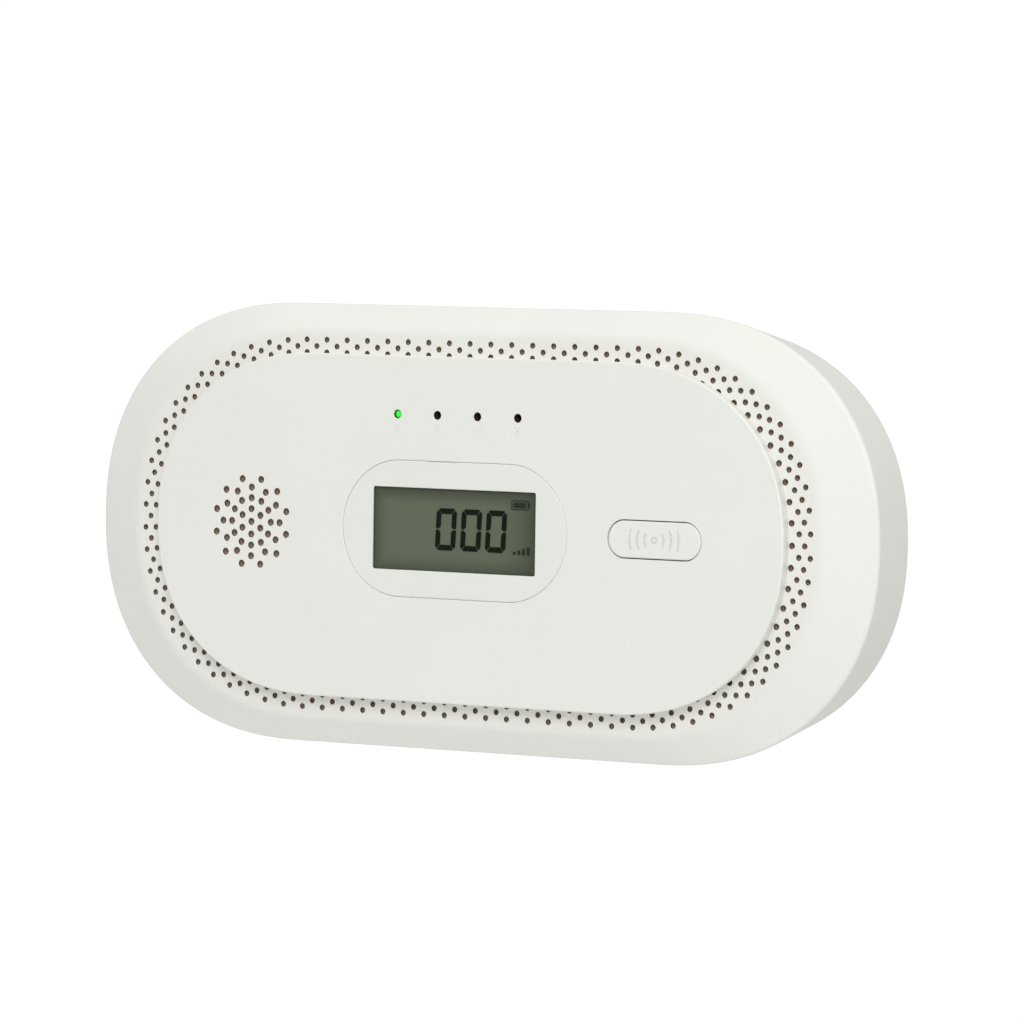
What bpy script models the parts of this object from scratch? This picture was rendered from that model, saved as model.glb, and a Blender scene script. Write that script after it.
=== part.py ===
"""Carbon monoxide alarm: bracket, housings, front panel, display, sounder, test button, sensor and cells.

Metres, +Z up. The alarm looks along -Y, and the wall it hangs on is the plane Y = 0.
A depth is a distance behind the face of the front panel, so depths grow towards the wall.
Heights and half sizes are measured from the middle of the oval body.
"""

import math

import bmesh
import bpy
from mathutils import Matrix, Vector

MM = 0.001

# Whole alarm
OVERALL_DEPTH = 33.0 * MM
GAP = 0.3 * MM
WALL = 2.0 * MM
CAP_SEGMENTS = 16

# The ends of the body's ovals are a little longer and squarer than half circles
CAP_STRETCH = 3.6 * MM
CAP_POWER = 2.235

# Front panel, the raised oval plate
PANEL_X = 0.5 * MM
PANEL_HALF = (58.6 * MM, 27.2 * MM)
PANEL_THICK = 2.36 * MM

# Front housing: floor of the vent ring, sloping shoulder and side wall
FLOOR_DEPTH = 2.66 * MM
DECK_BACK = FLOOR_DEPTH + WALL
CREASE_HALF = (64.1 * MM, 30.9 * MM)
SHOULDER_HALF = (71.9 * MM, 34.6 * MM)
RIM_HALF = (72.7 * MM, 35.0 * MM)
COVER_END_HALF = (70.44 * MM, 32.6 * MM)
SHOULDER_DEPTH = 5.1 * MM
RIM_DEPTH = 6.2 * MM
PARTING_DEPTH = 18.5 * MM

# Vent ring: four staggered rows inside one guide oval, spaced evenly along it
GUIDE_HALF = (65.04 * MM, 31.89 * MM)
VENT_STEPS = 86
VENT_END_X = 39.0 * MM
VENT_ROWS = (
    # distance inside the guide oval, first step, hole radius, only round the ends
    (2.66 * MM, 0.0, 0.48 * MM, False),
    (3.69 * MM, 0.5, 0.48 * MM, False),
    (4.68 * MM, 0.0, 0.48 * MM, False),
    (5.94 * MM, 0.5, 0.55 * MM, True),
)

# Rear housing, which narrows towards the wall
REAR_FRONT_DEPTH = PARTING_DEPTH + GAP
REAR_BACK_DEPTH = 30.7 * MM
REAR_SECTIONS = (
    # half length, half height, depth
    (69.2 * MM, 31.6 * MM, REAR_FRONT_DEPTH),
    (69.2 * MM, 31.6 * MM, REAR_FRONT_DEPTH + 1.2 * MM),
    (66.6 * MM, 30.4 * MM, 24.0 * MM),
    (63.2 * MM, 28.4 * MM, 29.2 * MM),
    (61.0 * MM, 26.6 * MM, REAR_BACK_DEPTH),
)
REAR_WALL_INNER = REAR_BACK_DEPTH - WALL

# Wall bracket and the two headed lugs the alarm hangs on
BRACKET_FRONT = REAR_BACK_DEPTH + GAP
BRACKET_HALF = (56.0 * MM, 22.0 * MM)
LUG_X = 48.0 * MM
LUG_Z = 6.0 * MM
LUG_NECK_RADIUS = 1.8 * MM
LUG_HEAD_RADIUS = 3.8 * MM
LUG_HEAD_THICK = 1.2 * MM
LIFT_TRAVEL = 10.0 * MM
WALL_SLOT_X = 26.0 * MM
WALL_SLOT_HALF = (4.7 * MM, 2.25 * MM)

# Display
LCD_X = -0.9 * MM
BEZEL_HALF = (21.1 * MM, 10.85 * MM)
SEAM = 0.1 * MM
WINDOW_HALF = (15.25 * MM, 6.5 * MM)
GLASS_HALF = (16.6 * MM, 7.8 * MM)
GLASS_DEPTHS = (0.8 * MM, 2.9 * MM)
POCKET_DEPTH = 0.5 * MM

# Indicators
LED_PITCH = 7.5 * MM
LED_FIRST_X = -11.67 * MM
LED_Z = 17.98 * MM
LED_NAMES = ("power", "fault", "alarm", "life")
LED_HOLE_RADIUS = 0.75 * MM
LED_RADIUS = 1.5 * MM

# Sounder and its rosette of holes
SOUNDER = (-39.58 * MM, 0.0)
ROSETTE_RINGS = (
    # ring radius, number of holes, angle of the first hole in degrees
    (0.0, 1, 0.0),
    (2.02 * MM, 6, 90.0),
    (3.78 * MM, 12, 90.0),
    (5.48 * MM, 12, 90.0),
    (7.00 * MM, 12, 75.0),
)
ROSETTE_HOLE_RADIUS = 0.58 * MM
SOUNDER_RADIUS = 12.0 * MM
SOUNDER_INNER_RADIUS = 10.2 * MM
SOUNDER_PORT_RADIUS = 2.2 * MM
SOUNDER_WALL = 1.0 * MM
SOUND_OPENING_RADIUS = 8.0 * MM
PIEZO_RADIUS = 10.7 * MM
PIEZO_DEPTHS = (7.6 * MM, 7.9 * MM)

# Test button
BUTTON_X = 36.1 * MM
BUTTON_HALF = (8.35 * MM, 2.85 * MM)
BUTTON_FLANGE_HALF = (9.7 * MM, 4.2 * MM)
BUTTON_FLANGE_THICK = 0.8 * MM
STEM_RADIUS = 1.3 * MM
STEM_END = 6.2 * MM
PLUNGER_TOP = 6.55 * MM
PLUNGER_RADIUS = 1.65 * MM

# Circuit board
BOARD_FRONT = 10.7 * MM
BOARD_BACK = 12.3 * MM
BOARD_HALF = (60.0 * MM, 26.5 * MM)
ON_BOARD_FRONT = BOARD_FRONT - GAP
ON_BOARD_BACK = BOARD_BACK + GAP

# Screws
CASE_SCREW_X = 41.0 * MM
CASE_SCREW_Z = 21.0 * MM
BOARD_SCREW = (26.0 * MM, 22.0 * MM)
SCREW_HOLE_RADIUS = 1.6 * MM
SCREW_SHANK_RADIUS = 1.25 * MM
# Head radius, head height and shank length
CASE_SCREW_SIZE = (2.7 * MM, 1.9 * MM, 17.5 * MM)
BOARD_SCREW_SIZE = (2.5 * MM, 1.4 * MM, 5.6 * MM)
BOSS_RADIUS = 3.2 * MM
PILLAR_RADIUS = 4.5 * MM
COUNTERBORE_RADIUS = 3.1 * MM
COUNTERBORE_DEPTH = 24.0 * MM

# Battery bay, two AA cells side by side
CELL_RADIUS = 7.2 * MM
CELL_LENGTH = 49.2 * MM
NUB_LENGTH = 1.3 * MM
NUB_RADIUS = 2.7 * MM
CELL_Z = 7.9 * MM
BAY_FLOOR = 13.8 * MM
BAY_HALF = (29.6 * MM, 16.4 * MM)
BAY_WALL = 1.5 * MM
CELL_DEPTH = BAY_FLOOR + GAP + CELL_RADIUS
CONTACT_THICK = 0.5 * MM
CONTACT_BACK = 27.0 * MM
CONTACT_HALF = 5.5 * MM
LINK_HALF = 13.5 * MM
TAIL_HALF = 1.2 * MM
SPRING_WIDE_RADIUS = 4.6 * MM
SPRING_TIP_RADIUS = 2.8 * MM
DOOR_SEAT = 28.5 * MM
DOOR_INNER_HALF = 31.8 * MM
DOOR_OUTER_HALF = 31.0 * MM
DOOR_TOP = 17.5 * MM
SEAT_HALF = 33.2 * MM
SEAT_FRONT = 27.4 * MM
SEAT_HEIGHTS = (-27.6 * MM, 20.0 * MM)

FINISHES = {
    # base colour, roughness, metallic
    "white_abs": ((0.80, 0.79, 0.76), 0.55, 0.0),
    "white_clip": ((0.72, 0.71, 0.68), 0.6, 0.0),
    "lcd_green": ((0.13, 0.16, 0.11), 0.15, 0.0),
    "silver_film": ((0.62, 0.65, 0.60), 0.35, 0.0),
    "led_green": ((0.10, 0.80, 0.12), 0.2, 0.0),
    "led_yellow": ((0.75, 0.62, 0.10), 0.2, 0.0),
    "led_red": ((0.70, 0.06, 0.05), 0.2, 0.0),
    "led_blue": ((0.10, 0.20, 0.70), 0.2, 0.0),
    "black_plastic": ((0.02, 0.02, 0.02), 0.5, 0.0),
    "rubber": ((0.05, 0.05, 0.05), 0.8, 0.0),
    "brass": ((0.78, 0.57, 0.22), 0.3, 1.0),
    "board": ((0.03, 0.20, 0.08), 0.45, 0.0),
    "steel": ((0.60, 0.60, 0.60), 0.3, 1.0),
    "nickel": ((0.75, 0.73, 0.68), 0.25, 1.0),
    "sleeve": ((0.05, 0.06, 0.10), 0.4, 0.0),
    "copper": ((0.72, 0.33, 0.18), 0.4, 1.0),
}


def y_at(depth):
    """World Y of a depth behind the front panel's face."""
    return depth - OVERALL_DEPTH


def new_collection(name):
    made = bpy.data.collections.new(name)
    bpy.context.scene.collection.children.link(made)
    return made


def add_object(name, mesh, collection):
    obj = bpy.data.objects.new(name, mesh)
    collection.objects.link(obj)
    return obj


def finish(obj, key):
    """Gives an object its own Principled material."""
    colour, roughness, metallic = FINISHES[key]
    made = bpy.data.materials.new(obj.name + "_finish")
    made.use_nodes = True
    shader = made.node_tree.nodes["Principled BSDF"]
    shader.inputs["Base Color"].default_value = (*colour, 1.0)
    shader.inputs["Roughness"].default_value = roughness
    shader.inputs["Metallic"].default_value = metallic
    obj.data.materials.clear()
    obj.data.materials.append(made)
    return obj


def mesh_from(name, bm):
    bmesh.ops.recalc_face_normals(bm, faces=bm.faces)
    mesh = bpy.data.meshes.new(name)
    bm.to_mesh(mesh)
    bm.free()
    mesh.shade_smooth()
    mesh.set_sharp_from_angle(angle=math.radians(35.0))
    return mesh


# ---------------------------------------------------------------- outlines, as (x, z) points


def stadium(half_length, half_height, centre=(0.0, 0.0), segments=CAP_SEGMENTS):
    """Oval with straight long sides and half-round ends."""
    straight = half_length - half_height
    points = []
    for side, start in ((1.0, 90.0), (-1.0, 270.0)):
        for i in range(segments + 1):
            angle = math.radians(start - 180.0 * i / segments)
            x = centre[0] + side * straight + half_height * math.cos(angle)
            points.append((x, centre[1] + half_height * math.sin(angle)))
    return points


def oval(half_length, half_height, centre=(0.0, 0.0), segments=CAP_SEGMENTS):
    """Outline of the body: straight long sides and ends of a superellipse."""
    cap = half_height + CAP_STRETCH
    power = 2.0 / CAP_POWER
    points = []
    for side, start in ((1.0, 90.0), (-1.0, 270.0)):
        for i in range(segments + 1):
            angle = math.radians(start - 180.0 * i / segments)
            along = side * max(0.0, side * math.cos(angle)) ** power
            up = math.copysign(abs(math.sin(angle)) ** power, math.sin(angle))
            x = side * (half_length - cap) + cap * along
            points.append((centre[0] + x, centre[1] + half_height * up))
    return points


def circle(centre, radius, sides, turn=0.0):
    points = []
    for i in range(sides):
        angle = turn + 2.0 * math.pi * i / sides
        points.append((centre[0] + radius * math.cos(angle), centre[1] + radius * math.sin(angle)))
    return points


def rectangle(half, centre=(0.0, 0.0)):
    (a, b), (x, z) = half, centre
    return [(x - a, z - b), (x + a, z - b), (x + a, z + b), (x - a, z + b)]


# ---------------------------------------------------------------- solids


def plate(name, outlines, depth_from, depth_to, collection):
    """Flat plate between two depths. The first outline is its edge, the others are its holes."""
    curve = bpy.data.curves.new(name, "CURVE")
    curve.dimensions = "2D"
    curve.fill_mode = "BOTH"
    curve.extrude = (depth_to - depth_from) / 2.0
    for outline in outlines:
        spline = curve.splines.new("POLY")
        spline.points.add(len(outline) - 1)
        for point, (x, z) in zip(spline.points, outline):
            point.co = (x, z, 0.0, 1.0)
        spline.use_cyclic_u = True
    flat = add_object(name, curve, collection)
    flat.location = (0.0, y_at((depth_from + depth_to) / 2.0), 0.0)
    flat.rotation_euler = (math.pi / 2.0, 0.0, 0.0)
    return as_mesh(flat, collection)


def as_mesh(curve_object, collection):
    """Replaces a curve object by the closed mesh that it draws."""
    bpy.context.view_layer.update()
    graph = bpy.context.evaluated_depsgraph_get()
    mesh = bpy.data.meshes.new_from_object(curve_object.evaluated_get(graph))
    place = curve_object.matrix_world.copy()
    name = curve_object.name
    bpy.data.objects.remove(curve_object, do_unlink=True)
    bm = bmesh.new()
    bm.from_mesh(mesh)
    bpy.data.meshes.remove(mesh)
    bmesh.ops.remove_doubles(bm, verts=bm.verts, dist=1e-7)
    solid = add_object(name, mesh_from(name, bm), collection)
    solid.matrix_world = place
    return solid


def loft(name, sections, collection, closed=True, shape=oval):
    """Skin through sections (half length, half height, depth) of a shape, from front to back."""
    bm = bmesh.new()
    rings = []
    for half_length, half_height, depth in sections:
        outline = shape(half_length, half_height)
        rings.append([bm.verts.new((x, y_at(depth), z)) for x, z in outline])
    for front, back in zip(rings, rings[1:]):
        count = len(front)
        for i in range(count):
            j = (i + 1) % count
            bm.faces.new((front[i], front[j], back[j], back[i]))
    bm.faces.new(rings[0])
    if closed:
        bm.faces.new(rings[-1])
    return add_object(name, mesh_from(name, bm), collection)


def box(name, x, depth, z, collection):
    """Block between pairs of x, depth and z."""
    size = Vector((x[1] - x[0], depth[1] - depth[0], z[1] - z[0]))
    centre = Vector(((x[0] + x[1]) / 2.0, y_at((depth[0] + depth[1]) / 2.0), (z[0] + z[1]) / 2.0))
    bm = bmesh.new()
    bmesh.ops.create_cube(bm, size=1.0, matrix=Matrix.Diagonal((*size, 1.0)))
    solid = add_object(name, mesh_from(name, bm), collection)
    solid.location = centre
    return solid


def rods(name, places, radius, depth, collection, sides=20, turn=0.0):
    """Round bars along Y at (x, z) places, between two depths, as one object."""
    bm = bmesh.new()
    for x, z in places:
        middle = Matrix.Translation((x, y_at((depth[0] + depth[1]) / 2.0), z))
        lie = Matrix.Rotation(math.pi / 2.0, 4, "X") @ Matrix.Rotation(turn, 4, "Z")
        bmesh.ops.create_cone(
            bm, cap_ends=True, segments=sides, radius1=radius, radius2=radius,
            depth=depth[1] - depth[0], matrix=middle @ lie,
        )
    return add_object(name, mesh_from(name, bm), collection)


def turned(name, profile, place, rotation, collection, steps=20):
    """Turned solid about its own Z. The (radius, height) profile runs down its outer side.

    A profile that starts on the axis ends there. Any other is closed, and makes a ring.
    """
    mesh = bpy.data.meshes.new(name)
    edges = [(i, i + 1) for i in range(len(profile) - 1)]
    if profile[0][0] > 0.0:
        edges.append((len(profile) - 1, 0))
    mesh.from_pydata([(r, 0.0, h) for r, h in profile], edges, [])
    solid = add_object(name, mesh, collection)
    solid.location = place
    solid.rotation_euler = rotation
    screw = solid.modifiers.new("Turn", "SCREW")
    screw.axis = "Z"
    screw.steps = steps
    screw.render_steps = steps
    screw.use_merge_vertices = True
    screw.merge_threshold = 1e-6
    screw.use_smooth_shade = True
    return solid


TO_FRONT = (math.pi / 2.0, 0.0, 0.0)
TO_BACK = (-math.pi / 2.0, 0.0, 0.0)
TO_RIGHT = (0.0, math.pi / 2.0, 0.0)
TO_LEFT = (0.0, -math.pi / 2.0, 0.0)


def combine(target, tool, operation):
    """Adds a Boolean to the target and puts its tool out of sight."""
    step = target.modifiers.new(tool.name, "BOOLEAN")
    step.operation = operation
    step.solver = "EXACT"
    step.object = tool
    tool.hide_render = True
    tool.display_type = "WIRE"


def cut(target, tool):
    combine(target, tool, "DIFFERENCE")


def add(target, tool):
    combine(target, tool, "UNION")


def solidify(obj, thickness):
    """Thickens an open surface inwards."""
    shell = obj.modifiers.new("Shell", "SOLIDIFY")
    shell.thickness = thickness
    shell.offset = -1.0
    shell.solidify_mode = "NON_MANIFOLD"
    shell.nonmanifold_thickness_mode = "CONSTRAINTS"


# ---------------------------------------------------------------- places that repeat


def guide_line():
    """Points of the guide oval, clockwise from the middle of its top, with the distance to each."""
    outline = oval(*GUIDE_HALF, segments=256)
    last = len(outline) // 2
    line = [(0.0, GUIDE_HALF[1])] + outline[:last] + [(0.0, -GUIDE_HALF[1])]
    line += [(-x, -z) for x, z in line[1:]]
    reached = [0.0]
    for first, second in zip(line, line[1:]):
        reached.append(reached[-1] + math.dist(first, second))
    return line, reached


def vent_places(inside, first_step, ends_only):
    """Every hole of one row, at even steps along the guide oval and a distance inside it."""
    line, reached = guide_line()
    places = []
    segment = 0
    for i in range(VENT_STEPS):
        along = reached[-1] * (i + first_step) / VENT_STEPS
        while reached[segment + 1] < along:
            segment += 1
        start = Vector(line[segment])
        run = (Vector(line[segment + 1]) - start).normalized()
        point = start + run * (along - reached[segment]) + Vector((run.y, -run.x)) * inside
        if not ends_only or abs(point.x) > VENT_END_X:
            places.append((point.x, point.y))
    return places


def rosette_places():
    places = []
    for radius, count, first in ROSETTE_RINGS:
        for i in range(count):
            angle = math.radians(first + 360.0 * i / count)
            places.append((SOUNDER[0] + radius * math.cos(angle), SOUNDER[1] + radius * math.sin(angle)))
    return places


def led_places():
    return [(LED_FIRST_X + i * LED_PITCH, LED_Z) for i in range(len(LED_NAMES))]


def case_screw_places():
    return [(sx * CASE_SCREW_X, sz * CASE_SCREW_Z) for sz in (1, -1) for sx in (-1, 1)]


def board_screw_places():
    x, z = BOARD_SCREW
    return [(-x, -z), (x, z)]


# ---------------------------------------------------------------- front of the alarm


def make_front_panel():
    holes = [stadium(BEZEL_HALF[0] + SEAM, BEZEL_HALF[1] + SEAM, (LCD_X, 0.0))]
    holes.append(stadium(BUTTON_HALF[0] + GAP, BUTTON_HALF[1] + GAP, (BUTTON_X, 0.0), 10))
    holes += [circle(place, LED_HOLE_RADIUS, 10) for place in led_places()]
    holes += [circle(place, ROSETTE_HOLE_RADIUS, 6) for place in rosette_places()]
    panel = plate("front_panel", [oval(*PANEL_HALF, (PANEL_X, 0.0))] + holes, 0.0, PANEL_THICK, PARTS)
    finish(panel, "white_abs")


def make_front_housing():
    sections = (
        (*CREASE_HALF, FLOOR_DEPTH),
        (*SHOULDER_HALF, SHOULDER_DEPTH),
        (*RIM_HALF, RIM_DEPTH),
        (*COVER_END_HALF, PARTING_DEPTH),
    )
    housing = loft("front_housing", sections, PARTS, closed=False)
    solidify(housing, WALL)
    overlap = 0.5 * MM
    screws = case_screw_places() + board_screw_places()
    bosses = rods("screw_bosses", screws, BOSS_RADIUS, (DECK_BACK - overlap, ON_BOARD_FRONT), CUTTERS, 16)
    add(housing, bosses)
    through = (FLOOR_DEPTH - 1.0 * MM, DECK_BACK + 1.0 * MM)
    window_half = (GLASS_HALF[0] + 2.0 * GAP, GLASS_HALF[1] + 2.0 * GAP)
    cut(housing, plate("display_opening", [rectangle(window_half, (LCD_X, 0.0))], *through, CUTTERS))
    button_half = (BUTTON_HALF[0] + GAP, BUTTON_HALF[1] + GAP)
    button_opening = stadium(*button_half, (BUTTON_X, 0.0), 10)
    cut(housing, plate("button_opening", [button_opening], *through, CUTTERS))
    cut(housing, rods("sound_opening", [SOUNDER], SOUND_OPENING_RADIUS, through, CUTTERS, 24))
    cut(housing, rods("led_openings", led_places(), LED_RADIUS + 1.5 * GAP, through, CUTTERS, 12))
    pilot = (DECK_BACK + 1.2 * MM, ON_BOARD_FRONT + 1.0 * MM)
    cut(housing, rods("pilot_holes", screws, SCREW_HOLE_RADIUS, pilot, CUTTERS, 12))
    for number, (inside, first, hole, ends_only) in enumerate(VENT_ROWS, 1):
        places = vent_places(inside, first, ends_only)
        cut(housing, rods(f"vent_row_{number}", places, hole, through, CUTTERS, 4, math.pi / 4.0))
    finish(housing, "white_abs")


def make_display():
    centre = (LCD_X, 0.0)
    outer = stadium(BEZEL_HALF[0] - SEAM, BEZEL_HALF[1] - SEAM, centre)
    bezel = plate("display_bezel", [outer, rectangle(WINDOW_HALF, centre)], 0.0, PANEL_THICK, PARTS)
    pocket_half = (GLASS_HALF[0] + GAP, GLASS_HALF[1] + GAP)
    cut(bezel, plate("glass_pocket", [rectangle(pocket_half, centre)], POCKET_DEPTH, 3.0 * MM, CUTTERS))
    finish(bezel, "white_abs")

    glass_x = (LCD_X - GLASS_HALF[0], LCD_X + GLASS_HALF[0])
    glass = box("lcd_glass", glass_x, GLASS_DEPTHS, (-GLASS_HALF[1], GLASS_HALF[1]), PARTS)
    finish(glass, "lcd_green")

    behind = GLASS_DEPTHS[1] + GAP
    film_thick = 0.4 * MM
    film_half = 5.4 * MM
    film_depth = (behind, behind + film_thick)
    film = box("lcd_reflector", glass_x, film_depth, (-film_half, film_half), PARTS)
    finish(film, "silver_film")

    strip_half = 15.5 * MM
    strip_inner = 6.0 * MM
    strip_outer = 7.5 * MM
    strip_x = (LCD_X - strip_half, LCD_X + strip_half)
    for name, side in (("zebra_strip_upper", 1), ("zebra_strip_lower", -1)):
        strip_z = sorted((side * strip_inner, side * strip_outer))
        strip = box(name, strip_x, (behind, ON_BOARD_FRONT), strip_z, PARTS)
        finish(strip, "rubber")

    holder_outer = rectangle((19.0 * MM, 10.2 * MM), centre)
    holder_inner = rectangle((16.9 * MM, 8.2 * MM), centre)
    holder_from = DECK_BACK + GAP
    holder = plate("lcd_holder", [holder_outer, holder_inner], holder_from, ON_BOARD_FRONT, PARTS)
    finish(holder, "white_clip")


def make_leds():
    """Round 3 mm indicators on two legs, each with its dome just behind its hole."""
    tip = FLOOR_DEPTH + 0.06 * MM
    dome_steps = 3
    rim_radius = 1.9 * MM
    rim_thick = 1.0 * MM
    leg_offset = 1.27 * MM
    leg_half = 0.25 * MM
    for name, (x, z), key in zip(
        LED_NAMES, led_places(), ("led_green", "led_yellow", "led_red", "led_blue")
    ):
        flange_top = 8.0 * MM
        height = flange_top - tip
        profile = []
        for i in range(dome_steps + 1):
            angle = 0.5 * math.pi * i / dome_steps
            radius = LED_RADIUS * math.sin(angle)
            profile.append((radius, height - LED_RADIUS * (1.0 - math.cos(angle))))
        profile += [(LED_RADIUS, rim_thick), (rim_radius, rim_thick), (rim_radius, 0.0), (0.0, 0.0)]
        led = turned(f"led_{name}", profile, (x, y_at(flange_top), z), TO_FRONT, PARTS, 10)
        for side in (-leg_offset, leg_offset):
            leg_x = (x + side - leg_half, x + side + leg_half)
            leg_z = (z - leg_half, z + leg_half)
            leg_depth = (flange_top - 0.4 * MM, ON_BOARD_FRONT)
            add(led, box(f"led_{name}_leg", leg_x, leg_depth, leg_z, CUTTERS))
        finish(led, key)


def make_sounder():
    front = DECK_BACK + GAP
    back = ON_BOARD_FRONT
    height = back - front
    ledge = back - (PIEZO_DEPTHS[0] - GAP)
    skirt = SOUNDER_RADIUS - SOUNDER_WALL
    roof = height - SOUNDER_WALL
    profile = [
        (SOUNDER_PORT_RADIUS, height),
        (SOUNDER_RADIUS, height),
        (SOUNDER_RADIUS, 0.0),
        (skirt, 0.0),
        (skirt, ledge),
        (SOUNDER_INNER_RADIUS, ledge),
        (SOUNDER_INNER_RADIUS, roof),
        (SOUNDER_PORT_RADIUS, roof),
    ]
    place = (SOUNDER[0], y_at(back), SOUNDER[1])
    finish(turned("buzzer_housing", profile, place, TO_FRONT, PARTS, 24), "black_plastic")
    disc = rods("piezo_disc", [SOUNDER], PIEZO_RADIUS, PIEZO_DEPTHS, PARTS, 24)
    finish(disc, "brass")


def make_test_button():
    """Oval key with a flange that keeps it in, and a stem over the switch."""
    flange_from = DECK_BACK + GAP
    flange_to = flange_from + BUTTON_FLANGE_THICK
    sections = (
        (*BUTTON_HALF, 0.0),
        (*BUTTON_HALF, flange_from),
        (*BUTTON_FLANGE_HALF, flange_from),
        (*BUTTON_FLANGE_HALF, flange_to),
    )
    button = loft("test_button", sections, PARTS, shape=stadium)
    button.location.x = BUTTON_X
    stem_depth = (flange_to - 0.3 * MM, STEM_END)
    add(button, rods("button_stem", [(BUTTON_X, 0.0)], STEM_RADIUS, stem_depth, CUTTERS, 16))
    finish(button, "white_abs")


def make_switch():
    half = 3.0 * MM
    body_front = 7.2 * MM
    bore_floor = 9.4 * MM
    plunger_end = 8.9 * MM
    body_depth = (body_front, ON_BOARD_FRONT)
    body = box("switch_body", (BUTTON_X - half, BUTTON_X + half), body_depth, (-half, half), PARTS)
    bore_depth = (body_front - 0.2 * MM, bore_floor)
    bore_radius = PLUNGER_RADIUS + GAP
    cut(body, rods("switch_bore", [(BUTTON_X, 0.0)], bore_radius, bore_depth, CUTTERS, 16))
    finish(body, "steel")
    plunger_depth = (PLUNGER_TOP, plunger_end)
    plunger = rods("switch_plunger", [(BUTTON_X, 0.0)], PLUNGER_RADIUS, plunger_depth, PARTS, 16)
    finish(plunger, "black_plastic")


# ---------------------------------------------------------------- board and what stands on it


def make_board():
    holes = [circle(p, SCREW_HOLE_RADIUS, 12) for p in case_screw_places() + board_screw_places()]
    board = plate("main_pcb", [stadium(*BOARD_HALF)] + holes, BOARD_FRONT, BOARD_BACK, PARTS)
    finish(board, "board")
    chip_depth = (ON_BOARD_FRONT - 1.4 * MM, ON_BOARD_FRONT)
    chip = box("mcu_chip", (21.0 * MM, 30.0 * MM), chip_depth, (-18.5 * MM, -9.5 * MM), PARTS)
    finish(chip, "black_plastic")


def make_sensor():
    """Electrochemical cell: a steel can with a plastic cap that has the gas inlet."""
    place_x = 46.0 * MM
    can_height = 10.5 * MM
    can = [(0.0, can_height), (7.4 * MM, can_height), (8.0 * MM, can_height - 0.8 * MM)]
    can += [(8.0 * MM, 0.0), (0.0, 0.0)]
    place = (place_x, y_at(ON_BOARD_BACK), 0.0)
    finish(turned("co_sensor_can", can, place, TO_BACK, PARTS), "nickel")
    cap_height = 1.8 * MM
    cap = [
        (1.2 * MM, cap_height),
        (6.2 * MM, cap_height),
        (6.8 * MM, cap_height - 0.6 * MM),
        (6.8 * MM, 0.0),
        (1.2 * MM, 0.0),
    ]
    cap_place = (place_x, y_at(ON_BOARD_BACK + can_height + GAP), 0.0)
    finish(turned("co_sensor_cap", cap, cap_place, TO_BACK, PARTS), "black_plastic")


def make_board_parts():
    height = 11.5 * MM
    radius = 4.0 * MM
    groove = 0.35 * MM
    capacitor = [
        (0.0, height),
        (radius - groove, height),
        (radius, height - groove),
        (radius, 1.8 * MM),
        (radius - groove, 1.4 * MM),
        (radius, 1.0 * MM),
        (radius, 0.0),
        (0.0, 0.0),
    ]
    place = (-43.0 * MM, y_at(ON_BOARD_BACK), 7.0 * MM)
    finish(turned("capacitor", capacitor, place, TO_BACK, PARTS, 20), "sleeve")
    bobbin = 3.8 * MM
    winding = 2.9 * MM
    inductor = [
        (0.0, 6.0 * MM),
        (bobbin, 6.0 * MM),
        (bobbin, 5.0 * MM),
        (winding, 5.0 * MM),
        (winding, 1.0 * MM),
        (bobbin, 1.0 * MM),
        (bobbin, 0.0),
        (0.0, 0.0),
    ]
    place = (-43.0 * MM, y_at(ON_BOARD_BACK), -6.0 * MM)
    finish(turned("boost_inductor", inductor, place, TO_BACK, PARTS, 20), "copper")


# ---------------------------------------------------------------- rear housing, door and cells


def door_prism(name, inset, collection):
    """Dovetail block that fills the door's recess, smaller by the inset on three sides."""
    depth = (DOOR_SEAT + inset, OVERALL_DEPTH)
    low = -40.0 * MM
    solid = box(name, (-1.0, 1.0), depth, (low, DOOR_TOP - inset), collection)
    slope = (DOOR_INNER_HALF - DOOR_OUTER_HALF) / (REAR_BACK_DEPTH - DOOR_SEAT)
    for vertex in solid.data.vertices:
        side = math.copysign(1.0, vertex.co.x)
        back = depth[1] if vertex.co.y > 0.0 else depth[0]
        half = DOOR_INNER_HALF - slope * (back - DOOR_SEAT) - inset
        vertex.co.x = side * half
    return solid


def make_rear_housing():
    sections = REAR_SECTIONS[::-1]
    housing = loft("rear_housing", sections, PARTS, closed=False)
    solidify(housing, WALL)
    root = 0.5 * MM
    bay_outer = (BAY_HALF[0] + BAY_WALL, BAY_HALF[1] + BAY_WALL)
    tub_depth = (ON_BOARD_BACK, REAR_WALL_INNER + root)
    add(housing, plate("bay_tub", [rectangle(bay_outer)], *tub_depth, CUTTERS))
    seat_x = (-SEAT_HALF, SEAT_HALF)
    seat_depth = (SEAT_FRONT, REAR_WALL_INNER + root)
    add(housing, box("door_seat", seat_x, seat_depth, SEAT_HEIGHTS, CUTTERS))
    screws = case_screw_places()
    pillar_depth = (ON_BOARD_BACK, REAR_WALL_INNER + root)
    add(housing, rods("screw_pillars", screws, PILLAR_RADIUS, pillar_depth, CUTTERS, 20))
    past_back = OVERALL_DEPTH
    cut(housing, plate("bay_space", [rectangle(BAY_HALF)], BAY_FLOOR, past_back, CUTTERS))
    cut(housing, door_prism("door_recess", 0.0, CUTTERS))
    shank_depth = (ON_BOARD_BACK - 1.0 * MM, past_back)
    cut(housing, rods("shank_holes", screws, SCREW_HOLE_RADIUS, shank_depth, CUTTERS, 12))
    head_depth = (COUNTERBORE_DEPTH, past_back)
    cut(housing, rods("head_bores", screws, COUNTERBORE_RADIUS, head_depth, CUTTERS, 20))
    cut_keyholes(housing)
    cut_contact_slots(housing)
    finish(housing, "white_abs")


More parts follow.
